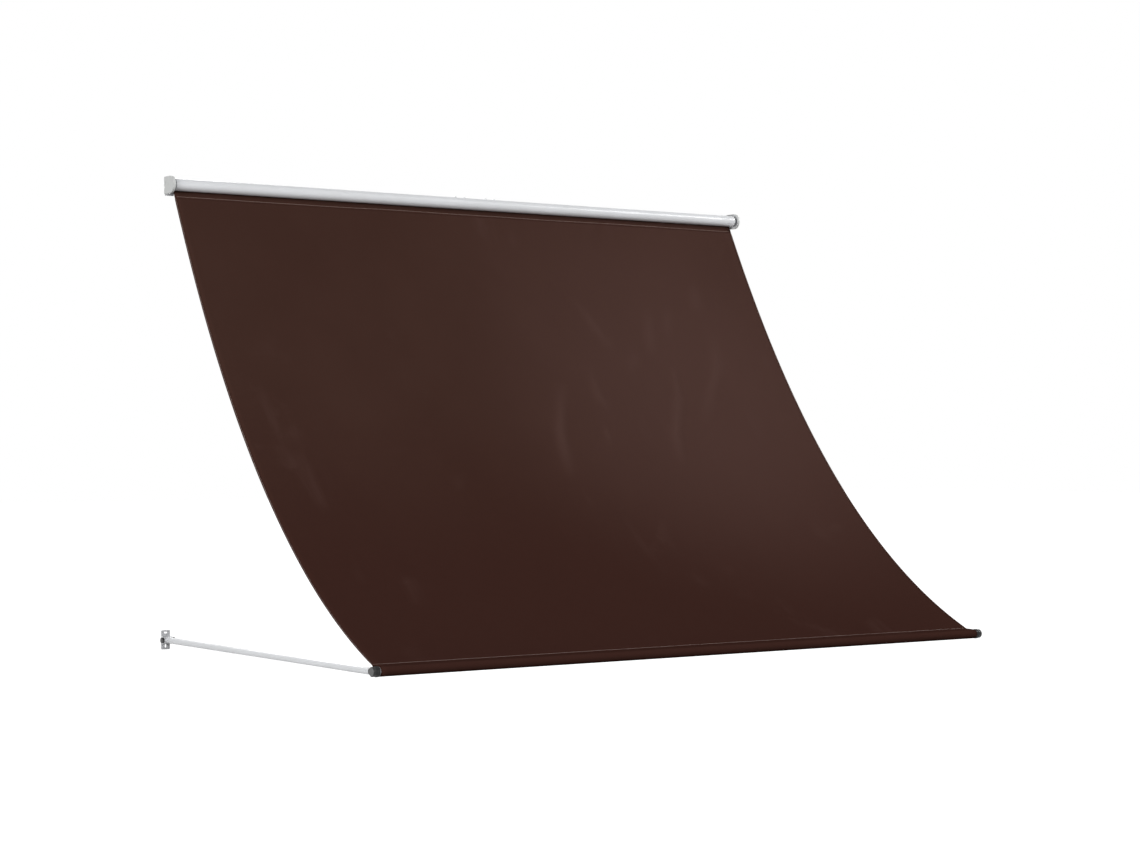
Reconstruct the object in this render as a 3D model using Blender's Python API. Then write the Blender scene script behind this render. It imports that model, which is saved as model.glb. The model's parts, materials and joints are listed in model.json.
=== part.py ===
"""Retractable wall awning: a roller with a one-piece fabric cover and two drop arms.

The frame: the wall is the plane Y = 0, the awning reaches out along -Y, +X runs
along the wall and +Z is up. The origin lies on the wall, midway between the two
top brackets, at the height of the roller's axis. All sizes are in metres.
"""
import math

import bmesh
import bpy

# Overall layout
ARM_X = 1.250                # middle of the awning to an arm's axis
COVER_OVERHANG = 0.005       # arm's axis to an end cover's outer face
ROLLER_OUT = 0.047           # wall to the roller's axis
PIVOT_OUT = 0.020            # wall to the arm pivots
PIVOT_DROP = 1.580           # roller's axis down to the arm pivots
ARM_REACH = 1.410            # pivot to the front bar's axis
SEAT = 0.0003                # gap left between pieces that touch
RUN = 0.0004                 # gap round a shaft that turns in its seat
MERGE = 5e-6                 # points closer than this are one point

# Facets round the curved surfaces
TUBE_STEPS = 44              # the roller's outside
CAVITY_STEPS = 40            # the roller's inside
SLEEVE_STEPS = 32
WHEEL_STEPS = 28             # bar, arm tubes, discs and the roller's plugs
ROUND_STEPS = 24             # hubs, stems, collars
SMALL_STEPS = 20             # bolts, caps and the holes for them
SHAFT_STEPS = 16
TINY_STEPS = 12              # rivets and screws
ROD_STEPS = 10
HALF_STEPS = 16              # half round front of the end cover
EAR_STEPS = 12
BEND_STEPS = 3               # small bends and roundings
CORNER_STEPS = 4             # corners of plates
PANEL_STEPS = 36             # hanging stretch of the cloth
WRAP_STEPS = 18              # cloth round the front bar
LOOP_STEPS = 14              # cloth round the hem rod
LAP_STEPS = 8                # cloth on the roller
COIL_STEPS = 12              # one turn of the spring
WIRE_SIDES = 4

# Top brackets and their covers
SHEET_METAL = 0.0025
COVER_DEPTH = 0.009
COVER_WALL = 0.002
COVER_RADIUS = 0.030
COVER_EDGE = 0.0008          # rounding of the cover's rim
NOTCH_DEPTH = 0.0045
NOTCH_HALF = 0.0045
NOTCH_DROP = 0.0065
LATCH_SLOT = (0.0035, 0.011)
LATCH_OUT = 0.0085
LATCH_RISE = 0.0065
FLANGE_WIDTH = 0.034
FLANGE_TOP = 0.0275
FLANGE_BOTTOM = -0.0355
PLATE_CORNER = 0.003         # corner radius of the wall plates
SLOT_WIDTH = 0.006
SLOT_LENGTH = 0.012
TOP_SLOT_PITCH = 0.038

# Roller
ROLLER_RADIUS = 0.0215
ROLLER_WALL = 0.0015
ROLLER_PLAY = 0.0089         # side plate to the roller's end plug
CHANNEL_BORE = 0.0034
CHANNEL_WALL = 0.0014
CHANNEL_MOUTH = 0.0024
CHANNEL_DEPTH = 0.0053       # roller's surface to the channel's centre
CHANNEL_ANGLE = math.radians(35)
PLUG_DEPTH = 0.035
PLUG_FLANGE = 0.003
EDGE_BREAK = 0.001           # chamfer on turned ends
SHAFT_RADIUS = 0.005
SHAFT_SQUARE = 0.008
SHAFT_COLLAR = 0.003         # the shaft's shoulder: its height and its width
SHAFT_LENGTH = 0.330
SPRING_HUB = 0.0083
SPRING_HUB_LENGTH = 0.016
ANCHOR_RIM = 0.004
SPRING_WIRE = 0.0010
SPRING_TURNS = 14
SLEEVE_HALF = 0.110
SLEEVE_WALL = 0.0015
SCREW_INSET = 0.024          # sleeve's end to its outer screw
SCREW_PITCH = 0.039          # outer screw to inner screw
SCREW_SHANK = 0.0020
SCREW_HEAD = 0.0042
SCREW_HEAD_HEIGHT = 0.0036
SCREW_LENGTH = 0.007
HEAD_SIDE = 0.4              # share of a screw head's height that is upright
HEAD_CROWN = (0.7, 0.85)     # the dome's middle point: shares of radius and height
HEM_ROD = 0.0020

# Fabric
CLOTH = 0.0006
LAYER_GAP = 0.0001
SPARE_CLOTH = 0.0500         # cloth that hangs free beyond the straight distance
TOP_HEM = 0.042
HEM_BEND = 0.0009            # bend of the inner layer at the channel's mouth
POCKET_SEAM = 0.025          # front bar to the pocket's seam, along the cloth
POCKET_HEM = 0.010

# Arms
ARM_RADIUS = 0.011
ARM_WALL = 0.0012
ARM_TUBE_OUT = 0.033         # wall to the arm tube's rear end
ARM_PLATE = (0.033, 0.067)
PLATE_SLOT_UP = 0.0250
PLATE_SLOT_DOWN = 0.0210
EAR_RADIUS = 0.012
EAR_ROOT = 0.0135
HUB_RADIUS = 0.0115
HEEL_HALF = 0.0065
HEEL_TOP = 0.001
BOLT_RADIUS = 0.004
BOLT_HEAD = 0.0065
BOLT_HEAD_HEIGHT = 0.004
NUT_HEIGHT = 0.005
BOLT_END = 0.001             # bolt's end past the nut
CAP_RADIUS = 0.0103
CAP_HEIGHT = 0.008
CAP_ROUND = 0.0015
PLUG_IN_ARM = 0.035
RIVET_RADIUS = 0.0019
RIVET_HEAD = 0.0034
RIVET_HEAD_HEIGHT = 0.0012
RIVET_INSET = 0.010
RIVET_CROWN = 0.8            # share of a rivet head's radius where its dome starts

# Front bar and corner fittings
BAR_RADIUS = 0.015
BAR_WALL = 0.0012
DISC_RADIUS = 0.0155
DISC_WIDTH = 0.0107
DISC_ROUND = 0.0022
KNUCKLE_FLANGE = 0.0025
KNUCKLE_BOSS = 0.007
BOSS_LENGTH = 0.020
COLLAR_RADIUS = 0.0170
COLLAR_WIDTH = 0.0135
COLLAR_GROOVE = 0.0012
SPIGOT_LENGTH = 0.045
JOINER_HALF = 0.090

# Worked out from the sizes above
HALF_WIDTH = ARM_X + COVER_OVERHANG
ROLLER = (-ROLLER_OUT, 0.0)
PIVOT = (-PIVOT_OUT, -PIVOT_DROP)
BAR = (-PIVOT_OUT - ARM_REACH, -PIVOT_DROP)
SIDE_PLATE_OUTER = HALF_WIDTH - COVER_WALL - SEAT
SIDE_PLATE_INNER = SIDE_PLATE_OUTER - SHEET_METAL
ROLLER_HALF = SIDE_PLATE_INNER - ROLLER_PLAY - PLUG_FLANGE - SEAT
COLLAR_INNER = ARM_X - COLLAR_WIDTH
SHEET_HALF = COLLAR_INNER - SEAT
BAR_HALF = COLLAR_INNER - SEAT
CAVITY = ROLLER_RADIUS - ROLLER_WALL
CHANNEL_RADIUS = CHANNEL_BORE + CHANNEL_WALL
CHANNEL_CENTRE = ROLLER_RADIUS - CHANNEL_DEPTH
SLEEVE_SCREWS = (SLEEVE_HALF - SCREW_INSET, SLEEVE_HALF - SCREW_INSET - SCREW_PITCH)
SCREW_PLACES = (-SLEEVE_SCREWS[0], -SLEEVE_SCREWS[1], SLEEVE_SCREWS[1], SLEEVE_SCREWS[0])
LAYER = CLOTH + LAYER_GAP
EAR_OUTER = ARM_PLATE[0] / 2
EAR_INNER = EAR_OUTER - SHEET_METAL
HUB_HALF = EAR_INNER - SEAT
NUT_CORNER = BOLT_HEAD / math.cos(math.pi / 6)
ARM_BORE = ARM_RADIUS - ARM_WALL
ARM_END = BAR[0] + COLLAR_RADIUS + 2 * SEAT + KNUCKLE_FLANGE
SIDES = {"left": -1, "right": 1}
SPRING_SIDE = "left"
PIN_SIDE = "right"
RIGHT_ANGLE = math.pi / 2
SMOOTH_ANGLE = math.radians(35)
RIM_ANGLE = math.radians(60)


# Materials
def finish(name, colour, roughness, metallic=0.0):
    """Make a material with a Principled BSDF."""
    material = bpy.data.materials.new(name)
    material.use_nodes = True
    shader = material.node_tree.nodes["Principled BSDF"]
    shader.inputs["Base Color"].default_value = (*colour, 1.0)
    shader.inputs["Roughness"].default_value = roughness
    shader.inputs["Metallic"].default_value = metallic
    material.diffuse_color = (*colour, 1.0)
    return material


def make_finishes():
    """One material for each stuff the awning is made of."""
    return {
        "white": finish("white_powder_coat", (0.80, 0.81, 0.82), 0.38),
        "cover": finish("pale_grey_plastic", (0.57, 0.58, 0.58), 0.50),
        "black": finish("black_plastic", (0.020, 0.020, 0.021), 0.42),
        "zinc": finish("zinc_plated_steel", (0.52, 0.53, 0.54), 0.32, 1.0),
        "spring": finish("spring_steel", (0.30, 0.30, 0.31), 0.35, 1.0),
        "nylon": finish("grey_nylon", (0.30, 0.31, 0.32), 0.50),
        "fabric": finish("brown_awning_fabric", (0.040, 0.022, 0.017), 0.75),
    }


# Modelling helpers
def clear_scene():
    """Remove every object that the file starts with."""
    for old in list(bpy.data.objects):
        bpy.data.objects.remove(old, do_unlink=True)


def add_object(name, shape, material=None):
    """Put a finished bmesh into the scene as an object."""
    bmesh.ops.remove_doubles(shape, verts=shape.verts, dist=MERGE)
    bmesh.ops.dissolve_degenerate(shape, edges=shape.edges, dist=MERGE)
    bmesh.ops.recalc_face_normals(shape, faces=shape.faces)
    mesh = bpy.data.meshes.new(name)
    shape.to_mesh(mesh)
    shape.free()
    piece = bpy.data.objects.new(name, mesh)
    bpy.context.scene.collection.objects.link(piece)
    if material:
        mesh.materials.append(material)
        mesh.shade_smooth()
        mesh.set_sharp_from_angle(angle=SMOOTH_ANGLE)
    return piece


def place_copies(piece, names, places):
    """Set a piece, and copies that share its mesh, at the given places."""
    for number, (name, place) in enumerate(zip(names, places)):
        copy = piece if number == 0 else piece.copy()
        if number > 0:
            bpy.context.scene.collection.objects.link(copy)
        copy.name = name
        copy.location = place


def boolean(piece, other, operation):
    """Add or remove the shape of another object, which stays as a guide."""
    other.hide_render = True
    other.display_type = "WIRE"
    step = piece.modifiers.new(other.name, "BOOLEAN")
    step.operation = operation
    step.solver = "EXACT"
    step.object = other


def cut(piece, other):
    boolean(piece, other, "DIFFERENCE")


def add(piece, other):
    boolean(piece, other, "UNION")


def extrude_outline(name, points, direction, material=None):
    """Extrude a closed outline of 3D points along a direction."""
    shape = bmesh.new()
    face = shape.faces.new([shape.verts.new(p) for p in points])
    moved = bmesh.ops.extrude_face_region(shape, geom=[face])["geom"]
    corners = [v for v in moved if isinstance(v, bmesh.types.BMVert)]
    bmesh.ops.translate(shape, verts=corners, vec=direction)
    return add_object(name, shape, material)


def along_x(name, outline, x_from, x_to, material=None):
    """Extrude an outline of (y, z) points from one X to another."""
    points = [(x_from, y, z) for y, z in outline]
    return extrude_outline(name, points, (x_to - x_from, 0, 0), material)


def hollow_section(name, outer, inner, x_from, x_to, material=None):
    """Extrude an outline of (y, z) points with a hole in it along X."""
    shape = bmesh.new()
    edges = []
    for loop in (outer, inner):
        verts = [shape.verts.new((x_from, y, z)) for y, z in loop]
        edges += [shape.edges.new(pair) for pair in zip(verts, verts[1:] + verts[:1])]
    filled = bmesh.ops.triangle_fill(shape, use_beauty=True, edges=edges)["geom"]
    faces = [part for part in filled if isinstance(part, bmesh.types.BMFace)]
    moved = bmesh.ops.extrude_face_region(shape, geom=faces)["geom"]
    corners = [part for part in moved if isinstance(part, bmesh.types.BMVert)]
    bmesh.ops.translate(shape, verts=corners, vec=(x_to - x_from, 0, 0))
    return add_object(name, shape, material)


def along_y(name, outline, y_from, y_to, material=None):
    """Extrude an outline of (x, z) points from one Y to another."""
    points = [(x, y_from, z) for x, z in outline]
    return extrude_outline(name, points, (0, y_to - y_from, 0), material)


def turned(name, profile, axis, centre, material=None, steps=ROUND_STEPS):
    """Spin a profile of (place along the axis, radius) points round an axis.

    The axis is X or Y through the centre. A profile that starts and ends at
    radius zero is left open there, and any other is closed into a ring.
    """
    shape = bmesh.new()
    cx, cy, cz = centre
    if axis == "X":
        points = [(place, cy, cz + radius) for place, radius in profile]
        line = (1, 0, 0)
    else:
        points = [(cx, place, cz + radius) for place, radius in profile]
        line = (0, 1, 0)
    verts = [shape.verts.new(p) for p in points]
    edges = [shape.edges.new(pair) for pair in zip(verts, verts[1:])]
    if profile[0][1] > 0:
        edges.append(shape.edges.new((verts[-1], verts[0])))
    bmesh.ops.spin(shape, geom=verts + edges, cent=centre, axis=line,
                   angle=math.tau, steps=steps, use_merge=True, use_duplicate=False)
    return add_object(name, shape, material)


def rod(name, axis, start, end, radius, centre, material=None, steps=ROUND_STEPS):
    """A plain round bar."""
    profile = [(start, 0), (start, radius), (end, radius), (end, 0)]
    return turned(name, profile, axis, centre, material, steps)


def pipe(name, axis, start, end, radius, bore, centre, material=None, steps=ROUND_STEPS):
    """A round bar with a hole through it."""
    profile = [(start, bore), (start, radius), (end, radius), (end, bore)]
    return turned(name, profile, axis, centre, material, steps)


def arc(centre, radius, start, end, steps):
    """Points on an arc, both ends included; angles are in radians."""
    turn = (end - start) / steps
    angles = [start + turn * i for i in range(steps + 1)]
    return [(centre[0] + radius * math.cos(a), centre[1] + radius * math.sin(a))
            for a in angles]


def circle(centre, radius, steps):
    """Evenly spaced points on a circle."""
    return arc(centre, radius, 0, math.tau, steps)[:-1]


def rounded_box(centre, width, height, radius, steps=CORNER_STEPS):
    """Outline of a rectangle with round corners."""
    points = []
    for quarter, (sx, sz) in enumerate(((1, 1), (-1, 1), (-1, -1), (1, -1))):
        corner = (centre[0] + sx * (width / 2 - radius),
                  centre[1] + sz * (height / 2 - radius))
        start = quarter * RIGHT_ANGLE
        points += arc(corner, radius, start, start + RIGHT_ANGLE, steps)
    return points


def slot_outline(centre, length, width, upright):
    """Outline of a slot with round ends."""
    size = (width, length) if upright else (length, width)
    return rounded_box(centre, *size, width / 2 - 2 * MERGE, BEND_STEPS)


# Top brackets
def cover_outline(inset=0.0, back=0.0):
    """The end cover's D shape as (y, z): flat at the wall, round in front."""
    radius = COVER_RADIUS - inset
    front = arc(ROLLER, radius, RIGHT_ANGLE, 3 * RIGHT_ANGLE, HALF_STEPS)
    return [(back, radius)] + front + [(back, -radius)]


def square_outline(half):
    """A square round the roller's axis as (y, z)."""
    return [(ROLLER[0] + sy * half, ROLLER[1] + sz * half)
            for sy, sz in ((1, 1), (-1, 1), (-1, -1), (1, -1))]


def top_bracket(side_name, stuff):
    """Folded steel bracket: a slotted wall flange and a side plate."""
    side = SIDES[side_name]
    bracket = along_x(f"top_bracket_{side_name}", cover_outline(COVER_WALL + SEAT),
                      side * SIDE_PLATE_INNER, side * SIDE_PLATE_OUTER, stuff["white"])
    middle = (FLANGE_TOP + FLANGE_BOTTOM) / 2
    flange_shape = rounded_box((side * (SIDE_PLATE_OUTER - FLANGE_WIDTH / 2), middle),
                               FLANGE_WIDTH, FLANGE_TOP - FLANGE_BOTTOM, PLATE_CORNER)
    add(bracket, along_y(f"flange_{side_name}", flange_shape, 0, -SHEET_METAL))
    slot_x = side * (SIDE_PLATE_INNER - (FLANGE_WIDTH - SHEET_METAL) / 2)
    for place, sign in (("upper", 1), ("lower", -1)):
        centre = (slot_x, middle + sign * TOP_SLOT_PITCH / 2)
        shape = slot_outline(centre, SLOT_LENGTH, SLOT_WIDTH, sign < 0)
        cut(bracket, along_y(f"{place}_slot_{side_name}", shape, SHEET_METAL,
                             -2 * SHEET_METAL))
    near = side * (SIDE_PLATE_INNER - SHEET_METAL)
    far = side * (SIDE_PLATE_OUTER + SHEET_METAL)
    if side_name == SPRING_SIDE:
        seat = along_x("shaft_seat", square_outline(SHAFT_SQUARE / 2 + SEAT), near, far)
    else:
        seat = rod("pin_seat", "X", near, far, SHAFT_RADIUS + SEAT, (0, *ROLLER))
    cut(bracket, seat)
    return bracket


def end_cover(side_name, stuff):
    """Moulded D-shaped shell that slides over the bracket's side plate."""
    side = SIDES[side_name]
    inner = HALF_WIDTH - COVER_DEPTH
    beyond = HALF_WIDTH + COVER_WALL
    shell = along_x(f"end_cover_{side_name}", cover_outline(0.0, -SEAT),
                    side * inner, side * HALF_WIDTH, stuff["cover"])
    rounding = shell.modifiers.new("rounded_rim", "BEVEL")
    rounding.width = COVER_EDGE
    rounding.segments = 2
    rounding.limit_method = "ANGLE"
    rounding.angle_limit = RIM_ANGLE
    near = side * (inner - COVER_DEPTH)
    inside = side * (HALF_WIDTH - COVER_WALL)
    hollow = along_x(f"hollow_{side_name}", cover_outline(COVER_WALL, COVER_DEPTH),
                     near, inside)
    cut(shell, hollow)
    reach = 2 * COVER_RADIUS
    step_back = SHEET_METAL + SEAT
    corners = [(COVER_DEPTH, reach), (-step_back, reach),
               (-step_back, -reach), (COVER_DEPTH, -reach)]
    cut(shell, along_x(f"flange_relief_{side_name}", corners, near, inside))
    from_x = side * (HALF_WIDTH - 2 * COVER_WALL)
    notch_shape = [(NOTCH_DEPTH, 2 * NOTCH_HALF - NOTCH_DROP), (-NOTCH_DEPTH, -NOTCH_DROP),
                   (NOTCH_DEPTH, -2 * NOTCH_HALF - NOTCH_DROP)]
    cut(shell, along_x(f"wall_notch_{side_name}", notch_shape, from_x, side * beyond))
    latch_shape = rounded_box((-LATCH_OUT, LATCH_RISE), *LATCH_SLOT, LATCH_SLOT[0] / 3,
                              BEND_STEPS)
    cut(shell, along_x(f"latch_slot_{side_name}", latch_shape, from_x, side * beyond))
    return shell


# Roller
def channel_point(radius, across=0.0):
    """A (y, z) point seen from the roller's axis in the channel's direction."""
    c, s = math.cos(CHANNEL_ANGLE), math.sin(CHANNEL_ANGLE)
    return (ROLLER[0] + radius * c - across * s, ROLLER[1] + radius * s + across * c)


def tube_section():
    """The roller's section: the outer outline with its slot, and the cavity."""
    half = CHANNEL_MOUTH / 2
    centre = channel_point(CHANNEL_CENTRE)
    lip = math.asin(half / ROLLER_RADIUS)
    bore_lip = math.asin(half / CHANNEL_BORE)
    outer = arc(ROLLER, ROLLER_RADIUS, CHANNEL_ANGLE + lip, CHANNEL_ANGLE - lip + math.tau,
                TUBE_STEPS)
    outer += arc(centre, CHANNEL_BORE, CHANNEL_ANGLE - bore_lip,
                 CHANNEL_ANGLE + bore_lip - math.tau, TINY_STEPS)
    gap = CAVITY ** 2 - CHANNEL_CENTRE ** 2 - CHANNEL_RADIUS ** 2
    wall = math.acos(gap / (2 * CHANNEL_CENTRE * CHANNEL_RADIUS))
    side = math.atan2(CHANNEL_RADIUS * math.sin(wall),
                      CHANNEL_CENTRE + CHANNEL_RADIUS * math.cos(wall))
    inner = arc(ROLLER, CAVITY, CHANNEL_ANGLE + side, CHANNEL_ANGLE - side + math.tau,
                CAVITY_STEPS)
    inner += arc(centre, CHANNEL_RADIUS, CHANNEL_ANGLE - wall,
                 CHANNEL_ANGLE + wall - math.tau, TINY_STEPS)[1:-1]
    return outer, inner


def roller_tube(side_name, stuff):
    """Half of the roller: a drawn tube with a channel for the cloth's hem rod."""
    side = SIDES[side_name]
    outer, inner = tube_section()
    tube = hollow_section(f"roller_tube_{side_name}", outer, inner, side * SEAT / 2,
                          side * ROLLER_HALF, stuff["white"])
    for number, x in enumerate(SCREW_PLACES):
        if x * side > 0:
            cut(tube, screw_hole(f"tube_hole_{number}", x))
    return tube


def screw_hole(name, x):
    """Upright hole through the top of the roller for one of its screws."""
    outline = circle((x, ROLLER[0]), SCREW_SHANK + SEAT, TINY_STEPS)
    points = [(px, py, ROLLER_RADIUS - 2 * SCREW_LENGTH) for px, py in outline]
    return extrude_outline(name, points, (0, 0, ROLLER_RADIUS))


def channel_relief(name, start, end, half_gap):
    """Block that keeps an inner piece clear of the roller's channel."""
    low = CHANNEL_CENTRE - CHANNEL_RADIUS - SEAT
    shape = [channel_point(low, -half_gap), channel_point(2 * ROLLER_RADIUS, -half_gap),
             channel_point(2 * ROLLER_RADIUS, half_gap), channel_point(low, half_gap)]
    return along_x(name, shape, start, end)


def roller_sleeve(stuff):
    """Open sleeve inside the roller that joins its two halves."""
    radius = CAVITY - SEAT
    sleeve = pipe("roller_sleeve", "X", -SLEEVE_HALF, SLEEVE_HALF, radius,
                  radius - SLEEVE_WALL, (0, *ROLLER), stuff["zinc"], SLEEVE_STEPS)
    gap = CHANNEL_RADIUS + 2 * SEAT
    cut(sleeve, channel_relief("sleeve_gap", -2 * SLEEVE_HALF, 2 * SLEEVE_HALF, gap))
    for number, x in enumerate(SCREW_PLACES):
        cut(sleeve, screw_hole(f"sleeve_hole_{number}", x))
    return sleeve


def roller_screws(stuff):
    """Four domed screws on top of the roller, two for each half."""
    seat = ROLLER_RADIUS + SEAT
    crown = seat + SCREW_HEAD_HEIGHT
    tip = seat - SCREW_LENGTH
    point = SCREW_SHANK / 2
    profile = [(0, tip), (SCREW_SHANK, tip + point), (SCREW_SHANK, seat), (SCREW_HEAD, seat),
               (SCREW_HEAD, seat + SCREW_HEAD_HEIGHT * HEAD_SIDE),
               (SCREW_HEAD * HEAD_CROWN[0], seat + SCREW_HEAD_HEIGHT * HEAD_CROWN[1]),
               (0, crown)]
    shape = bmesh.new()
    verts = [shape.verts.new((radius, 0, z)) for radius, z in profile]
    edges = [shape.edges.new(pair) for pair in zip(verts, verts[1:])]
    bmesh.ops.spin(shape, geom=verts + edges, cent=(0, 0, 0), axis=(0, 0, 1),
                   angle=math.tau, steps=TINY_STEPS, use_merge=True)
    screw = add_object("roller_screw_1", shape, stuff["zinc"])
    names = [f"roller_screw_{number}" for number in range(1, len(SCREW_PLACES) + 1)]
    place_copies(screw, names, [(x, ROLLER[0], ROLLER[1]) for x in SCREW_PLACES])


def roller_plug(side_name, stuff):
    """Flanged end plug; one of them also carries the spring's outer end."""
    side = SIDES[side_name]
    face = ROLLER_HALF + SEAT
    outer = face + PLUG_FLANGE
    inner = ROLLER_HALF - PLUG_DEPTH
    body = CAVITY - SEAT
    bore = SHAFT_RADIUS + RUN
    profile = [(outer, bore), (outer, ROLLER_RADIUS - EDGE_BREAK),
               (outer - EDGE_BREAK, ROLLER_RADIUS), (face, ROLLER_RADIUS), (face, body),
               (inner, body)]
    if side_name == SPRING_SIDE:
        profile += [(inner, SPRING_HUB), (inner - SPRING_HUB_LENGTH, SPRING_HUB),
                    (inner - SPRING_HUB_LENGTH, bore)]
    else:
        profile += [(inner, bore)]
    profile = [(side * x, r) for x, r in profile]
    plug = turned(f"roller_plug_{side_name}", profile, "X", (0, *ROLLER), stuff["nylon"],
                  WHEEL_STEPS)
    gap = CHANNEL_RADIUS + 2 * SEAT
    cut(plug, channel_relief(f"plug_groove_{side_name}", side * (inner - PLUG_DEPTH),
                             side * face, gap))
    return plug


def bearing_profile(end):
    """Half outline of a shaft with a shoulder against a bracket's side plate."""
    shoulder = SIDE_PLATE_INNER - SEAT
    return [(shoulder, SHAFT_RADIUS + SHAFT_COLLAR),
            (shoulder - SHAFT_COLLAR, SHAFT_RADIUS + SHAFT_COLLAR),
            (shoulder - SHAFT_COLLAR, SHAFT_RADIUS), (end + EDGE_BREAK, SHAFT_RADIUS),
            (end, SHAFT_RADIUS - EDGE_BREAK), (end, 0)]


def idler_pin(stuff):
    """Fixed pin in one bracket that the roller's plug turns on."""
    side = SIDES[PIN_SIDE]
    shoulder = SIDE_PLATE_INNER - SEAT
    profile = [(SIDE_PLATE_OUTER, 0), (SIDE_PLATE_OUTER, SHAFT_RADIUS),
               (shoulder, SHAFT_RADIUS)]
    profile += bearing_profile(ROLLER_HALF - PLUG_DEPTH - EDGE_BREAK)
    profile = [(side * x, r) for x, r in profile]
    return turned("idler_pin", profile, "X", (0, *ROLLER), stuff["zinc"], SHAFT_STEPS)


def spring_shaft(stuff):
    """Fixed shaft of the spring, held by its square end in the other bracket."""
    side = SIDES[SPRING_SIDE]
    shoulder = SIDE_PLATE_INNER - SEAT
    profile = [(shoulder, 0)] + bearing_profile(SIDE_PLATE_OUTER - SHAFT_LENGTH)
    profile = [(side * x, r) for x, r in profile]
    shaft = turned("spring_shaft", profile, "X", (0, *ROLLER), stuff["zinc"], SHAFT_STEPS)
    add(shaft, along_x("shaft_square", square_outline(SHAFT_SQUARE / 2),
                       side * (shoulder - SHAFT_COLLAR / 2), side * SIDE_PLATE_OUTER))
    return shaft


def anchor_place():
    """Inner face of the spring's anchor, near the fixed shaft's inner end."""
    return SIDE_PLATE_OUTER - SHAFT_LENGTH + 2 * EDGE_BREAK


def spring_anchor(stuff):
    """Collar on the shaft's inner end that holds the spring's fixed end."""
    side = SIDES[SPRING_SIDE]
    start = anchor_place()
    rim = start + ANCHOR_RIM
    bore = SHAFT_RADIUS + SEAT
    outside = SPRING_HUB + 2 * SPRING_WIRE + SEAT
    profile = [(start, bore), (start, outside), (rim, outside), (rim, SPRING_HUB),
               (rim + SPRING_HUB_LENGTH, SPRING_HUB), (rim + SPRING_HUB_LENGTH, bore)]
    profile = [(side * x, r) for x, r in profile]
    return turned("spring_anchor", profile, "X", (0, *ROLLER), stuff["nylon"], SHAFT_STEPS)


def torsion_spring(stuff):
    """Coil between the roller's plug and the anchor, round the fixed shaft."""
    side = SIDES[SPRING_SIDE]
    start = anchor_place() + ANCHOR_RIM + SEAT + SPRING_WIRE
    end = ROLLER_HALF - PLUG_DEPTH - SEAT - SPRING_WIRE
    radius = (SPRING_HUB + SEAT) / math.cos(math.pi / COIL_STEPS) + SPRING_WIRE
    steps = SPRING_TURNS * COIL_STEPS
    shape = bmesh.new()
    rings = []
    for i in range(steps + 1):
        turn = math.tau * i / COIL_STEPS
        x = start + (end - start) * i / steps
        ring = []
        for around in spread(0, math.tau, WIRE_SIDES)[:-1]:
            r = radius + SPRING_WIRE * math.cos(around)
            ring.append(shape.verts.new((side * (x + SPRING_WIRE * math.sin(around)),
                                         ROLLER[0] + r * math.cos(turn),
                                         ROLLER[1] + r * math.sin(turn))))
        rings.append(ring)
    for one, two in zip(rings, rings[1:]):
        for j in range(WIRE_SIDES):
            k = (j + 1) % WIRE_SIDES
            shape.faces.new((one[j], one[k], two[k], two[j]))
    shape.faces.new(rings[0])
    shape.faces.new(rings[-1])
    return add_object("torsion_spring", shape, stuff["spring"])


# Fabric
SCALE_SHARES = (0.05, 200)   # deepest and flattest scale tried, as shares of the span
HALVINGS = 80
FIRST_GUESS = math.radians(20)
SETTLING_ROUNDS = 12


def catenary(start, end, length):
    """Heights of a hanging sheet between two (y, z) points, as a function.

    The scale is found by halving the interval that holds it: a small scale
    hangs deep and a large one is nearly straight.
    """
    span = start[0] - end[0]
    drop = start[1] - end[1]
    target = math.sqrt(length ** 2 - drop ** 2)
    low, high = span * SCALE_SHARES[0], span * SCALE_SHARES[1]
    for _ in range(HALVINGS):
        scale = (low + high) / 2
        reach = 2 * scale * math.sinh(span / (2 * scale))
        if reach > target:
            low = scale
        else:
            high = scale
    lean = math.atanh(drop / length)
    lowest = (start[0] + end[0]) / 2 - scale * lean
    base = start[1] - scale * math.cosh((start[0] - lowest) / scale)

    def height(y):
        return base + scale * math.cosh((y - lowest) / scale)

    def slope(y):
        return math.sinh((y - lowest) / scale)

    return height, slope


def sheet_curve():
    """The cloth's free stretch between the roller and the front bar.

    Gives the angles at which it leaves the roller, below level, and reaches
    the bar, both from its own curve, with its first point and its height.
    """
    roll = ROLLER_RADIUS + SEAT + LAYER + CLOTH / 2
    ring = BAR_RADIUS + SEAT + CLOTH / 2
    leave = FIRST_GUESS
    arrive = FIRST_GUESS
    for _ in range(SETTLING_ROUNDS):
        start = (ROLLER[0] + roll * math.cos(leave), ROLLER[1] - roll * math.sin(leave))
        end = (BAR[0] - ring * math.sin(arrive), BAR[1] + ring * math.cos(arrive))
        height, slope = catenary(start, end, math.dist(start, end) + SPARE_CLOTH)
        leave = math.atan2(1, slope(start[0]))
        arrive = math.atan(slope(end[0]))
    return leave, arrive, start, end, height


def offset_line(points, distance):
    """Move a line of points sideways, to its left for a positive distance."""
    moved = []
    for i, point in enumerate(points):
        before = points[max(i - 1, 0)]
        after = points[min(i + 1, len(points) - 1)]
        first = unit(before, point) if i > 0 else unit(point, after)
        second = unit(point, after) if i < len(points) - 1 else first
        normal = (-(first[1] + second[1]), first[0] + second[0])
        size = math.hypot(*normal)
        normal = (normal[0] / size, normal[1] / size)
        share = max(0.5, -first[1] * normal[0] + first[0] * normal[1])
        moved.append((point[0] + normal[0] * distance / share,
                      point[1] + normal[1] * distance / share))
    return moved


def unit(one, two):
    length = math.dist(one, two)
    return ((two[0] - one[0]) / length, (two[1] - one[1]) / length)


def spread(start, end, steps):
    """Evenly spaced numbers, both ends included."""
    return [start + (end - start) * i / steps for i in range(steps + 1)]


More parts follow.
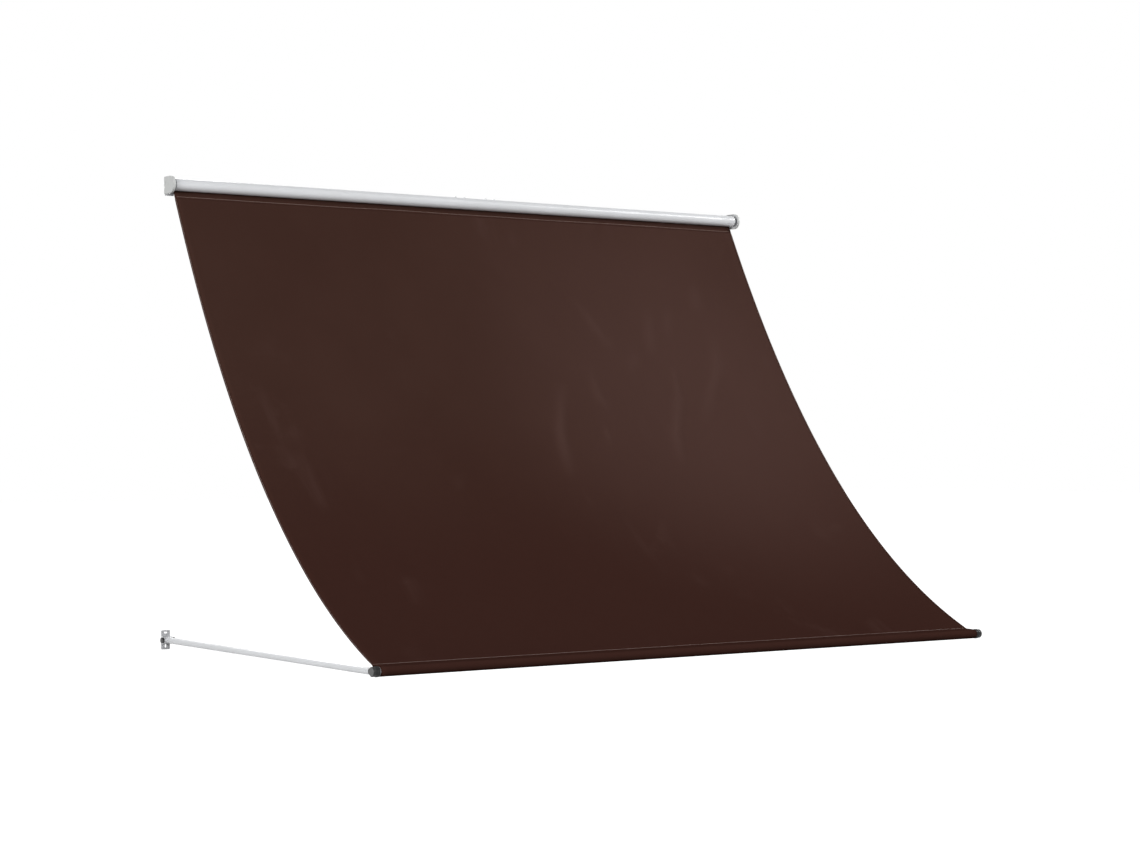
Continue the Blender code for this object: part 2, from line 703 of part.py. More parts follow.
def cloth_path():
    """Middle line of the cloth as one strip, from one cut end to the other.

    It starts at the top hem's cut end, climbs to the roller, passes round the
    hem rod in the channel, comes out again as the outer layer, hangs down to
    the front bar, wraps it as a pocket and ends under the pocket's seam.
    """
    leave, arrive, start, end, height = sheet_curve()
    inner = ROLLER_RADIUS + SEAT + CLOTH / 2
    hem_ys = spread(start[0] - TOP_HEM * math.sin(leave), start[0], BEND_STEPS)
    path = offset_line([(y, height(y)) for y in hem_ys], LAYER)[:-1]
    across = -LAYER / 2 - HEM_BEND
    corner = channel_point(inner - HEM_BEND, across)
    first = CHANNEL_ANGLE + across / inner
    turned_in = CHANNEL_ANGLE + RIGHT_ANGLE
    path += arc(ROLLER, inner, -leave, first, LAP_STEPS)[:-1]
    path += arc(corner, HEM_BEND, CHANNEL_ANGLE, turned_in, BEND_STEPS)
    loop = HEM_ROD + SEAT + CLOTH / 2
    neck = math.asin(LAYER / 2 / loop)
    path += arc(channel_point(CHANNEL_CENTRE), loop, CHANNEL_ANGLE - neck,
                CHANNEL_ANGLE + neck - math.tau, LOOP_STEPS)
    path += arc(corner, HEM_BEND + LAYER, turned_in, CHANNEL_ANGLE, BEND_STEPS)
    path += arc(ROLLER, inner + LAYER, first, -leave, LAP_STEPS)[1:]
    path += [(y, height(y)) for y in spread(start[0], end[0], PANEL_STEPS)[1:-1]]
    ring = BAR_RADIUS + SEAT + CLOTH / 2
    open_angle = math.atan(POCKET_SEAM / ring)
    top = RIGHT_ANGLE + arrive
    path += arc(BAR, ring, top, top + math.tau - 2 * open_angle, WRAP_STEPS)
    seam_y = end[0] + POCKET_SEAM * math.cos(arrive)
    hem_end = seam_y + POCKET_HEM * math.cos(arrive)
    lower = [(y, height(y)) for y in (seam_y, (seam_y + hem_end) / 2, hem_end)]
    return path + offset_line(lower, -LAYER)


def fabric_sheet(stuff):
    """The cloth as a closed strip of real thickness, straight across its width."""
    path = cloth_path()
    upper = offset_line(path, -CLOTH / 2)
    lower = offset_line(path, CLOTH / 2)
    outline = upper + lower[::-1]
    shape = bmesh.new()
    loops = [[shape.verts.new((x, y, z)) for y, z in outline]
             for x in (-SHEET_HALF, SHEET_HALF)]
    count = len(outline)
    for i in range(count):
        k = (i + 1) % count
        shape.faces.new((loops[0][i], loops[0][k], loops[1][k], loops[1][i]))
    for loop in loops:
        for i in range(len(path) - 1):
            j = count - 1 - i
            shape.faces.new((loop[i], loop[i + 1], loop[j - 1], loop[j]))
    return add_object("fabric_sheet", shape, stuff["fabric"])


def hem_rod(stuff):
    """Rod inside the top hem that keeps the cloth in the roller's channel."""
    centre = (0, *channel_point(CHANNEL_CENTRE))
    return rod("hem_rod", "X", -SHEET_HALF, SHEET_HALF, HEM_ROD, centre, stuff["nylon"],
               ROD_STEPS)


# Arms
def arm_bracket(side_name, stuff):
    """Slotted wall plate folded into two ears that carry the arm's pivot."""
    side = SIDES[side_name]
    x = side * ARM_X
    shape = rounded_box((x, PIVOT[1]), *ARM_PLATE, PLATE_CORNER)
    bracket = along_y(f"arm_bracket_{side_name}", shape, 0, -SHEET_METAL, stuff["white"])
    root = -SHEET_METAL / 2
    ear_shape = [(root, PIVOT[1] + EAR_ROOT)]
    ear_shape += arc(PIVOT, EAR_RADIUS, RIGHT_ANGLE, 3 * RIGHT_ANGLE, EAR_STEPS)
    ear_shape += [(root, PIVOT[1] - EAR_ROOT)]
    for number, sign in enumerate((-1, 1)):
        add(bracket, along_x(f"ear_{number}_{side_name}", ear_shape,
                             x + sign * EAR_INNER, x + sign * EAR_OUTER))
    cut(bracket, rod(f"ear_holes_{side_name}", "X", x - 2 * EAR_OUTER, x + 2 * EAR_OUTER,
                     BOLT_RADIUS + SEAT, (0, *PIVOT), steps=SMALL_STEPS))
    for place, rise, upright in (("upper", PLATE_SLOT_UP, False),
                                 ("lower", -PLATE_SLOT_DOWN, True)):
        hole = slot_outline((x, PIVOT[1] + rise), SLOT_LENGTH, SLOT_WIDTH, upright)
        cut(bracket, along_y(f"{place}_plate_slot_{side_name}", hole, SHEET_METAL,
                             -2 * SHEET_METAL))
    return bracket


def pivot_bolt(side_name, stuff):
    """Bolt through both ears and the arm's hub, with its head outside."""
    side = SIDES[side_name]
    head = EAR_OUTER + SEAT
    top = head + BOLT_HEAD_HEIGHT
    end = -(EAR_OUTER + SEAT + NUT_HEIGHT + BOLT_END)
    profile = [(top, 0), (top, BOLT_HEAD - EDGE_BREAK), (top - EDGE_BREAK, BOLT_HEAD),
               (head, BOLT_HEAD), (head, BOLT_RADIUS), (end + EDGE_BREAK, BOLT_RADIUS),
               (end, BOLT_RADIUS - EDGE_BREAK), (end, 0)]
    profile = [(side * (ARM_X + place), radius) for place, radius in profile]
    return turned(f"pivot_bolt_{side_name}", profile, "X", (0, *PIVOT), stuff["zinc"],
                  SMALL_STEPS)


def pivot_nut(side_name, stuff):
    """Hexagon nut on the bolt's inner end."""
    side = SIDES[side_name]
    start = side * (ARM_X - EAR_OUTER - SEAT)
    end = start - side * NUT_HEIGHT
    hexagon = circle(PIVOT, NUT_CORNER, 6)
    nut = along_x(f"pivot_nut_{side_name}", hexagon, start, end, stuff["zinc"])
    cut(nut, rod(f"nut_bore_{side_name}", "X", start + side * NUT_HEIGHT,
                 end - side * NUT_HEIGHT, BOLT_RADIUS + SEAT, (0, *PIVOT),
                 steps=SMALL_STEPS))
    return nut


def pivot_cap(side_name, place, stuff):
    """Round cap pushed over the bolt's head, or over its nut on the inner side."""
    side = SIDES[side_name]
    facing = 1 if place == "outer" else -1
    base = EAR_OUTER + SEAT
    top = base + CAP_HEIGHT
    inside = NUT_CORNER + SEAT
    roof = base + NUT_HEIGHT + BOLT_END + SEAT
    profile = [(roof, 0), (roof, inside), (base, inside), (base, CAP_RADIUS),
               (top - CAP_ROUND, CAP_RADIUS), (top - CAP_ROUND / 3, CAP_RADIUS - CAP_ROUND / 3),
               (top, CAP_RADIUS - CAP_ROUND), (top, 0)]
    profile = [(side * (ARM_X + facing * along), radius) for along, radius in profile]
    return turned(f"pivot_cap_{side_name}_{place}", profile, "X", (0, *PIVOT),
                  stuff["black"], SMALL_STEPS)


def arm_hub(side_name, stuff):
    """Hub between the ears, with a heel that stops the arm level."""
    side = SIDES[side_name]
    x = side * ARM_X
    hub = pipe(f"arm_hub_{side_name}", "X", x - HUB_HALF, x + HUB_HALF, HUB_RADIUS,
               BOLT_RADIUS + RUN, (0, *PIVOT), stuff["white"])
    bore = ARM_BORE - SEAT
    collar = SEAT - ARM_TUBE_OUT
    inside = -(PIVOT_OUT + (BOLT_RADIUS + RUN + HUB_RADIUS) / 2)
    end = -(ARM_TUBE_OUT + PLUG_IN_ARM)
    profile = [(inside, 0), (inside, ARM_RADIUS), (collar, ARM_RADIUS), (collar, bore),
               (end + EDGE_BREAK, bore), (end, bore - EDGE_BREAK), (end, 0)]
    add(hub, turned(f"hub_stem_{side_name}", profile, "Y", (x, 0, PIVOT[1])))
    back = -(SHEET_METAL + SEAT)
    inner_y = PIVOT[0] + (BOLT_RADIUS + RUN + HUB_RADIUS) / 2
    low = PIVOT[1] - math.sqrt(HUB_RADIUS ** 2 - (inner_y - PIVOT[0]) ** 2)
    heel_shape = [(back, PIVOT[1] - HEEL_TOP), (inner_y, PIVOT[1] - HEEL_TOP),
                  (inner_y, low), (back, low)]
    add(hub, along_x(f"heel_{side_name}", heel_shape, x - HEEL_HALF, x + HEEL_HALF))
    cut(hub, cross_hole(f"hub_rivet_hole_{side_name}", x, -(ARM_TUBE_OUT + RIVET_INSET)))
    return hub


def cross_hole(name, x, y):
    """Hole along X for a rivet through an arm."""
    reach = 2 * ARM_RADIUS
    return rod(name, "X", x - reach, x + reach, RIVET_RADIUS + SEAT, (0, y, PIVOT[1]),
               steps=TINY_STEPS)


def arm_tube(side_name, stuff):
    """Round arm tube, riveted at both ends."""
    x = SIDES[side_name] * ARM_X
    tube = pipe(f"arm_tube_{side_name}", "Y", -ARM_TUBE_OUT, ARM_END, ARM_RADIUS,
                ARM_BORE, (x, 0, PIVOT[1]), stuff["white"], WHEEL_STEPS)
    cut(tube, cross_hole(f"rear_rivet_hole_{side_name}", x, -(ARM_TUBE_OUT + RIVET_INSET)))
    cut(tube, cross_hole(f"front_rivet_hole_{side_name}", x, ARM_END + RIVET_INSET))
    return tube


def arm_rivets(stuff):
    """Rivets across both arm tubes, at the rear and at the front."""
    seat = ARM_RADIUS + SEAT / 2
    crown = seat + RIVET_HEAD_HEIGHT
    dome = RIVET_HEAD_HEIGHT / 2
    edge = RIVET_HEAD * RIVET_CROWN
    profile = [(-crown, 0), (-crown + dome, edge), (-seat, RIVET_HEAD), (-seat, RIVET_RADIUS),
               (seat, RIVET_RADIUS), (seat, RIVET_HEAD), (crown - dome, edge), (crown, 0)]
    rivet = turned("hub_rivet_left", profile, "X", (0, 0, 0), stuff["zinc"], TINY_STEPS)
    names = []
    places = []
    for row, y in (("hub", -(ARM_TUBE_OUT + RIVET_INSET)), ("corner", ARM_END + RIVET_INSET)):
        for side_name, side in SIDES.items():
            names.append(f"{row}_rivet_{side_name}")
            places.append((side * ARM_X, y, PIVOT[1]))
    place_copies(rivet, names, places)


# Front bar
def bar_end_plug(side_name, stuff):
    """Ridged collar at the end of the front bar, with a neck inside the bar."""
    side = SIDES[side_name]
    ridge = COLLAR_WIDTH / 5
    groove = COLLAR_RADIUS - COLLAR_GROOVE
    neck = BAR_RADIUS - BAR_WALL - SEAT
    end = COLLAR_INNER - SPIGOT_LENGTH
    bore = KNUCKLE_BOSS + SEAT
    profile = [(end, bore), (ARM_X, bore), (ARM_X, groove)]
    for number in (1, 3):
        start = ARM_X - number * ridge
        profile += [(start, groove), (start, COLLAR_RADIUS), (start - ridge, COLLAR_RADIUS),
                    (start - ridge, groove)]
    profile += [(COLLAR_INNER, groove), (COLLAR_INNER, neck), (end + EDGE_BREAK, neck),
                (end, neck - EDGE_BREAK)]
    profile = [(side * place, radius) for place, radius in profile]
    return turned(f"bar_end_plug_{side_name}", profile, "X", (0, *BAR), stuff["black"])


def corner_knuckle(side_name, stuff):
    """Corner moulding: end disc, boss in the bar's plug and spigot in the arm."""
    side = SIDES[side_name]
    face = ARM_X + SEAT
    outer = face + DISC_WIDTH
    boss_end = ARM_X - BOSS_LENGTH
    profile = [(outer, 0), (outer, DISC_RADIUS - DISC_ROUND)]
    profile += arc((outer - DISC_ROUND, DISC_RADIUS - DISC_ROUND), DISC_ROUND, 0,
                   RIGHT_ANGLE, BEND_STEPS)[1:]
    profile += [(face, DISC_RADIUS), (face, KNUCKLE_BOSS), (boss_end, KNUCKLE_BOSS),
                (boss_end, 0)]
    profile = [(side * place, radius) for place, radius in profile]
    knuckle = turned(f"corner_knuckle_{side_name}", profile, "X", (0, *BAR),
                     stuff["black"], WHEEL_STEPS)
    x = side * ARM_X
    bore = ARM_BORE - SEAT
    flange = BAR[0] + COLLAR_RADIUS + SEAT
    root = BAR[0] + KNUCKLE_BOSS
    web = rod(f"knuckle_web_{side_name}", "Y", root, flange + KNUCKLE_FLANGE / 2,
              ARM_RADIUS, (x, 0, PIVOT[1]))
    low, high = PIVOT[1] - 2 * ARM_RADIUS, PIVOT[1] + 2 * ARM_RADIUS
    block = along_x(f"collar_space_{side_name}", [(root - ARM_RADIUS, low),
                    (flange, low), (flange, high), (root - ARM_RADIUS, high)],
                    x - side * 2 * ARM_RADIUS, side * face)
    cut(web, block)
    add(knuckle, web)
    tip = ARM_END + PLUG_IN_ARM
    stem = [(flange, 0), (flange, ARM_RADIUS), (flange + KNUCKLE_FLANGE, ARM_RADIUS),
            (flange + KNUCKLE_FLANGE, bore), (tip - EDGE_BREAK, bore),
            (tip, bore - EDGE_BREAK), (tip, 0)]
    add(knuckle, turned(f"knuckle_stem_{side_name}", stem, "Y", (x, 0, PIVOT[1])))
    cut(knuckle, cross_hole(f"stem_rivet_hole_{side_name}", x, ARM_END + RIVET_INSET))
    return knuckle


def front_bar(side_name, stuff):
    """Half of the front bar, inside the cloth's pocket."""
    side = SIDES[side_name]
    return pipe(f"front_bar_{side_name}", "X", side * SEAT / 2, side * BAR_HALF, BAR_RADIUS,
                BAR_RADIUS - BAR_WALL, (0, *BAR), stuff["white"], WHEEL_STEPS)


def bar_joiner(stuff):
    """Sleeve inside the front bar that joins its two halves."""
    radius = BAR_RADIUS - BAR_WALL - SEAT
    return pipe("bar_joiner", "X", -JOINER_HALF, JOINER_HALF, radius, radius - SLEEVE_WALL,
                (0, *BAR), stuff["zinc"])


def build():
    """Model the whole awning."""
    clear_scene()
    stuff = make_finishes()
    for side_name in SIDES:
        top_bracket(side_name, stuff)
        end_cover(side_name, stuff)
        roller_tube(side_name, stuff)
        roller_plug(side_name, stuff)
        arm_bracket(side_name, stuff)
        pivot_bolt(side_name, stuff)
        pivot_nut(side_name, stuff)
        pivot_cap(side_name, "outer", stuff)
        pivot_cap(side_name, "inner", stuff)
        arm_hub(side_name, stuff)
        arm_tube(side_name, stuff)
        bar_end_plug(side_name, stuff)
        corner_knuckle(side_name, stuff)
        front_bar(side_name, stuff)
    roller_sleeve(stuff)
    roller_screws(stuff)
    idler_pin(stuff)
    spring_shaft(stuff)
    spring_anchor(stuff)
    torsion_spring(stuff)
    bar_joiner(stuff)
    arm_rivets(stuff)
    hem_rod(stuff)
    fabric_sheet(stuff)


build()
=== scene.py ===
# %% [markdown]
# A drop arm awning, dressed.
#
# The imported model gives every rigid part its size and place. This lesson keeps
# that frame and gives each part its real surface: powder coated tubes, moulded
# plastic, zinc plated screws and one large brown cloth with hems, stitches and
# the soft creases that it kept from being rolled up.

# %% Load the frame
import json
import math

import bmesh
import bpy
from mathutils import Matrix, Vector, noise


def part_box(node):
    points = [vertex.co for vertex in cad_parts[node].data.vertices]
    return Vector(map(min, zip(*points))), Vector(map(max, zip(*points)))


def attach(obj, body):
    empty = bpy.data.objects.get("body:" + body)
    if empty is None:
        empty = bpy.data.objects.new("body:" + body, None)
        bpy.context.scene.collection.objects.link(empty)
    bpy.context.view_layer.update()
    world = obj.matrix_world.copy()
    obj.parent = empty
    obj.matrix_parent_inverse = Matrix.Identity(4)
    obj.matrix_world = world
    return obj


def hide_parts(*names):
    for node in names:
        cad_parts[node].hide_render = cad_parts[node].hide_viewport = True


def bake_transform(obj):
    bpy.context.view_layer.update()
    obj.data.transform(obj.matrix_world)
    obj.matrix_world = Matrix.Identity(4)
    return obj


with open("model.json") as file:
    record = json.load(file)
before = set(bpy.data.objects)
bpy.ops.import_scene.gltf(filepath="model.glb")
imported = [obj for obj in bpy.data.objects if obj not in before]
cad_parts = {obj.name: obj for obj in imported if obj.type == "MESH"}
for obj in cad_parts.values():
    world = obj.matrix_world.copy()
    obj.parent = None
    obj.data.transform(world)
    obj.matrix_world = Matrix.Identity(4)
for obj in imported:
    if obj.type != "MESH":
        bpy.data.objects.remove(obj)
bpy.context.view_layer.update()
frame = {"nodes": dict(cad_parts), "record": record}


# %% [markdown]
# Sizes first. The roller's and the front bar's axes and radii are read from the
# boxes of their own nodes, so the cloth follows the frame if a size changes.
# What a box can't tell, such as the thickness of the cloth, is a named value.

# %% Sizes read from the frame
def middle(node):
    """Centre of a node's box."""
    low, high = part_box(node)
    return (Vector(low) + Vector(high)) / 2


def extent(node):
    """Size of a node's box."""
    low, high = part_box(node)
    return Vector(high) - Vector(low)


ROLLER = middle("roller_tube_left").yz
ROLLER_RADIUS = extent("roller_tube_left").z / 2
BAR = middle("front_bar_left").yz
BAR_RADIUS = extent("front_bar_left").z / 2
ARM_X = middle("arm_tube_right").x
SHEET_HALF = extent("fabric_sheet").x / 2
SEAT = 0.0003
CLOTH = 0.0006
LAYER_GAP = 0.0001
print(f"roller radius {ROLLER_RADIUS * 1000:.1f} mm, bar radius {BAR_RADIUS * 1000:.1f} mm")
print(f"cloth {2 * SHEET_HALF:.3f} m wide, arms {2 * ARM_X:.3f} m apart")


# %% [markdown]
# A material is a small sum: noise times a little, added to a base. Writing that
# as Math nodes by hand hides the idea, so one small class wraps a socket and
# turns plain arithmetic into nodes. A second class is the material itself: its
# node() makes any node, and mix() blends two colours.

# %% Shader arithmetic
class Number:
    """A shader value; arithmetic on it adds Math nodes."""

    def __init__(self, finish, socket):
        self.finish = finish
        self.socket = socket

    def math(self, operation, first, second):
        inputs = {0: first, 1: second}
        return self.finish.node("Math", {"operation": operation}, inputs)

    def __add__(self, other):
        return self.math("ADD", self, other)

    def __sub__(self, other):
        return self.math("SUBTRACT", self, other)

    def __rsub__(self, other):
        return self.math("SUBTRACT", other, self)

    def __mul__(self, other):
        return self.math("MULTIPLY", self, other)

    __radd__ = __add__
    __rmul__ = __mul__

    def sine(self):
        return self.finish.node("Math", {"operation": "SINE"}, {0: self})

    def between(self, low, high):
        """0 below low, 1 above high, smooth in between."""
        settings = {"interpolation_type": "SMOOTHSTEP"}
        inputs = {"Value": self, "From Min": low, "From Max": high}
        return self.finish.node("MapRange", settings, inputs)


class Finish:
    """A material in the making, round one Principled shader."""

    def __init__(self, name, roughness, metallic=0.0):
        self.material = bpy.data.materials.new(name)
        self.material.use_nodes = True
        self.tree = self.material.node_tree
        self.shader = self.tree.nodes["Principled BSDF"]
        self.set("Roughness", roughness)
        self.set("Metallic", metallic)

    def node(self, kind, settings=None, inputs=None, output=0):
        made = self.tree.nodes.new("ShaderNode" + kind)
        for key, value in (settings or {}).items():
            setattr(made, key, value)
        for key, value in (inputs or {}).items():
            self.feed(made.inputs[key], value)
        return Number(self, made.outputs[output])

    def feed(self, socket, value):
        if isinstance(value, Number):
            self.tree.links.new(value.socket, socket)
        else:
            socket.default_value = value

    def set(self, name, value):
        self.feed(self.shader.inputs[name], value)

    def place(self):
        """Object coordinates: metres from the part's origin."""
        return self.node("TexCoord", output="Object")

    def noise(self, vector, scale, detail=2.0, roughness=0.5):
        inputs = {"Vector": vector, "Scale": scale, "Detail": detail, "Roughness": roughness}
        return self.node("TexNoise", inputs=inputs)

    def axis(self, vector, name):
        return self.node("SeparateXYZ", inputs={0: vector}, output=name)

    def mix(self, first, second, share):
        """Blend two colours; share 0 gives the first."""
        made = self.tree.nodes.new("ShaderNodeMix")
        made.data_type = "RGBA"
        for index, value in ((0, share), (6, first), (7, second)):
            if isinstance(value, tuple):
                value = (*value, 1.0)
            self.feed(made.inputs[index], value)
        return Number(self, made.outputs[2])

    def bump(self, height, strength, distance):
        inputs = {"Height": height, "Strength": strength, "Distance": distance}
        self.set("Normal", self.node("Bump", inputs=inputs))


print("shader classes ready")


# %% [markdown]
# Powder coat is baked plastic dust on metal. It never lies quite flat: up close
# it has the fine waves called orange peel, and its gloss drifts a little where
# hands and rain have been. Both are noise, one of about a millimetre for the
# bump and one of a hand's width for the gloss.

# %% White powder coat
def powder_coat():
    finish = Finish("white_powder_coat", 0.34)
    place = finish.place()
    drift = finish.noise(place, 7.0, 4.0).between(0.35, 0.7)
    peel = finish.noise(place, 900.0, 1.0)
    specks = finish.noise(place, 2600.0, 0.0).between(0.74, 0.80)
    clean = finish.mix((0.755, 0.765, 0.785), (0.725, 0.735, 0.750), drift)
    finish.set("Base Color", finish.mix(clean, (0.58, 0.58, 0.57), specks * 0.35))
    finish.set("Roughness", 0.30 + 0.12 * drift)
    finish.set("Coat Weight", 0.15)
    finish.bump(peel, 0.12, 0.0004)
    return finish.material


# %% [markdown]
# The end covers are moulded in a plain pale grey plastic, a shade darker and
# duller than the metal beside them. A moulded face shows a fine spark eroded
# grain, which is a dense noise bump.

# %% Moulded plastics
def moulded(name, colour, worn, roughness, grain, gloss=0.5):
    """Moulded plastic: grain on the surface, paler where it is rubbed."""
    finish = Finish(name, roughness)
    finish.set("Specular IOR Level", gloss)
    place = finish.place()
    rubbed = finish.noise(place, 60.0, 3.0).between(0.5, 0.85)
    finish.set("Base Color", finish.mix(colour, worn, rubbed * 0.5))
    finish.set("Roughness", roughness - 0.06 + 0.12 * finish.noise(place, 22.0, 3.0))
    finish.bump(finish.noise(place, grain, 1.0), 0.25, 0.0003)
    return finish.material


# %% [markdown]
# Zinc plating is bright but mottled: small crystals catch the light in patches.
# A cell pattern drives the colour and the gloss together, so that a patch that
# is paler is also smoother.

# %% Plated steel
def plated_steel(name, light, dark, roughness):
    finish = Finish(name, roughness, 1.0)
    place = finish.place()
    cells = finish.node("TexVoronoi", inputs={"Vector": place, "Scale": 900.0})
    patch = cells.between(0.1, 0.9)
    finish.set("Base Color", finish.mix(light, dark, patch))
    finish.set("Roughness", roughness + 0.15 * patch)
    finish.bump(finish.noise(place, 1500.0, 2.0), 0.15, 0.0002)
    return finish.material


# %% [markdown]
# Awning cloth is a plain weave of dyed yarn, about 15 threads to the
# centimetre. Its UV map is laid out in metres, across and down the cloth, so
# the threads run true however the cloth hangs. Two sine waves make the weave:
# where one thread is up, its neighbour is down. Over that lie a slow drift in
# the dye, faint slubs along single threads and paler wear patches. Light is
# painted on as well: a painted sheen, palest right of the middle, painted
# shade that darkens the cloth towards the bar, and painted highlights along
# the crease ridges and in long streaks. The specular
# level is zero, because a mirror sheen would turn the cloth white under this
# white sky wherever it is seen at a flat angle, and real cloth stays dark.

# %% Brown awning cloth
THREADS = 1500.0             # threads in a metre
SHEEN_PLACE = (0.80, -0.90, 0.0)    # centre of the painted sheen, on the UV map
SHEEN_REACH = (0.15, 1.30)


def awning_cloth(name="brown_awning_cloth", folds_and_sheen=True):
    finish = Finish(name, 0.80)
    uv = finish.node("TexCoord", output="UV")
    across = finish.axis(uv, "X")
    down = finish.axis(uv, "Y")
    turn = math.pi * THREADS
    weave = (across * turn).sine() * (down * turn).sine()
    dye = finish.noise(uv, 1.6, 3.0).between(0.3, 0.7)
    stretched = finish.node("Mapping", inputs={"Vector": uv, "Scale": (900.0, 14.0, 1.0)})
    slub = finish.noise(stretched, 1.0, 2.0).between(0.55, 0.8)
    crumple = finish.noise(uv, 5.5, 5.0, 0.55)
    worn = finish.noise(uv, 2.4, 2.0).between(0.55, 0.72)
    base = finish.mix((0.0530, 0.0250, 0.0190), (0.0590, 0.0285, 0.0218), dye)
    base = finish.mix(base, (0.068, 0.034, 0.027), slub * 0.25)
    # Painted shade: the cloth is darker towards the bar and its pocket.
    painted_shade_near_bar = (-1 * down).between(0.8, 1.8)
    base = finish.mix(base, (0.0450, 0.0185, 0.0142), painted_shade_near_bar * 0.92)
    if folds_and_sheen:
        # Painted sheen: a paler, greyer patch right of the middle, where light glances off the
        # cloth.
        spot = {0: uv, 1: SHEEN_PLACE}
        far = finish.node("VectorMath", {"operation": "DISTANCE"}, spot, "Value")
        painted_sheen = 1 - far.between(*SHEEN_REACH)
        base = finish.mix(base, (0.088, 0.0465, 0.0390), painted_sheen * 0.62)
        crease_highlight = finish.node("Attribute", {"attribute_name": "crease"}, output="Fac")
        base = finish.mix(base, (0.072, 0.037, 0.030), worn * crumple.between(0.5, 0.62) * 0.5)
        # Painted highlight: paler along the tops of the crease ridges, where they catch the
        # light.
        base = finish.mix(base, (0.092, 0.050, 0.042), crease_highlight * 0.50)
        # Painted highlight: paler streaks down the cloth, inside the wear patches, like light
        # along soft ridges.
        drawn = finish.node("Mapping", inputs={"Vector": uv, "Scale": (9.0, 1.3, 1.0)})
        streaks = finish.noise(drawn, 1.0, 4.0).between(0.50, 0.72)
        base = finish.mix(base, (0.080, 0.042, 0.035), streaks * worn * 0.5)
    finish.set("Base Color", base)
    finish.set("Roughness", 0.50 + 0.10 * slub)
    finish.set("Specular IOR Level", 0.0)
    finish.bump(weave * 0.00012 + crumple * 0.0012, 0.55, 1.0)
    return finish.material


def sewing_thread():
    """Twisted thread, much paler than the cloth."""
    finish = Finish("sewing_thread", 0.6)
    place = finish.place()
    twist = finish.noise(place, 3000.0, 1.0).between(0.4, 0.6)
    finish.set("Base Color", finish.mix((0.400, 0.290, 0.255), (0.300, 0.215, 0.190), twist))
    finish.bump(twist, 0.4, 0.0002)
    return finish.material


# %% [markdown]
# Each finish is made once and shared by all the pieces that have it. The colour
# of a plastic or a plating is given as two shades that the noise blends.

# %% All finishes
WHITE = powder_coat()
COVER = moulded("pale_grey_plastic", (0.62, 0.63, 0.62), (0.68, 0.69, 0.68), 0.48, 1800.0)
BLACK = moulded("black_plastic", (0.016, 0.016, 0.017), (0.040, 0.040, 0.042), 0.36, 1400.0)
JET = moulded("jet_black_plastic", (0.007, 0.007, 0.007), (0.016, 0.016, 0.016), 0.30, 1400.0,
              0.30)
# Painted light: a dark grey for the lit end faces of the black corner mouldings.
LIT_FACE_PAINT = moulded("painted_lit_disc_face", (0.120, 0.120, 0.120), (0.150, 0.150, 0.150), 0.55, 900.0,
                    0.30)
NYLON = moulded("grey_nylon", (0.30, 0.31, 0.32), (0.38, 0.39, 0.40), 0.50, 1200.0)
ZINC = plated_steel("zinc_plated_steel", (0.62, 0.63, 0.64), (0.47, 0.48, 0.49), 0.26)
SPRING = plated_steel("spring_steel", (0.36, 0.36, 0.37), (0.24, 0.24, 0.25), 0.32)
CLOTH_FINISH = awning_cloth()
THREAD = sewing_thread()
ALL_FINISHES = (WHITE, COVER, BLACK, JET, LIT_FACE_PAINT, NYLON, ZINC, SPRING, CLOTH_FINISH, THREAD)
print("finishes:", [finish.name for finish in ALL_FINISHES])


# %% [markdown]
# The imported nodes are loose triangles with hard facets. For each metal or
# plastic node a copy is merged, its flat faces are joined again, its hard edges
# get the small round that paint and moulding leave, and it is shaded smooth.
# A long flat face would take on the slant of the small rounds at its ends, so
# the normals are weighted by face area. The copy then stands for the node.
# Nothing moves, so the frame stays true.

# %% Helpers for finished pieces
def to_object(shape, name, finish, sharp=32.0):
    """Turn a bmesh into a smooth shaded piece with one finish."""
    mesh = bpy.data.meshes.new(name)
    shape.to_mesh(mesh)
    shape.free()
    piece = bpy.data.objects.new(name, mesh)
    bpy.context.scene.collection.objects.link(piece)
    mesh.materials.append(finish)
    mesh.shade_smooth()
    mesh.set_sharp_from_angle(angle=math.radians(sharp))
    return piece


def body_of(node):
    """Name of the body that a node belongs to."""
    groups = frame["record"]["behaviour"]["bodies"]
    return next(body for body, nodes in groups.items() if node in nodes)


def hard_edges(shape, angle):
    """Edges between faces that turn by more than the angle, in degrees."""
    limit = math.radians(angle)
    return [edge for edge in shape.edges
            if edge.is_manifold and edge.calc_face_angle() > limit]


def settle(piece, kind, **settings):
    """Add a modifier with its settings, and apply it."""
    step = piece.modifiers.new(kind.lower(), kind)
    for key, value in settings.items():
        setattr(step, key, value)
    with bpy.context.temp_override(object=piece, active_object=piece):
        bpy.context.view_layer.objects.active = piece
        bpy.ops.object.modifier_apply(modifier=step.name)


EASED_EDGE = 0.0003
MERGE_WITHIN = 2e-6          # corners closer than this are one corner
FLAT = 0.6                   # degrees within which faces count as one flat face
HARD = 50                    # degrees from which an edge counts as hard


def dress(node, finish, edge=EASED_EDGE):
    """A merged, eased and smooth copy of a node, which it then stands for."""
    shape = bmesh.new()
    shape.from_mesh(frame["nodes"][node].data)
    bmesh.ops.remove_doubles(shape, verts=shape.verts, dist=MERGE_WITHIN)
    bmesh.ops.dissolve_limit(shape, angle_limit=math.radians(FLAT), verts=shape.verts,
                             edges=shape.edges)
    if edge:
        bmesh.ops.bevel(shape, geom=hard_edges(shape, HARD), offset=edge, segments=2,
                        profile=0.5, affect="EDGES", clamp_overlap=True, material=-1)
    piece = to_object(shape, node + "_finished", finish)
    settle(piece, "WEIGHTED_NORMAL", mode="FACE_AREA", weight=80, keep_sharp=True)
    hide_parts(node)
    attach(piece, body_of(node))
    return piece


# %% [markdown]
# One table says which nodes share a finish, so a node is dressed by adding its
# name to a row. The spring keeps its edges: its wire is round already.

# %% Dress the carried-over nodes
def sided(*names):
    return [f"{name}_{side}" for name in names for side in ("left", "right")]


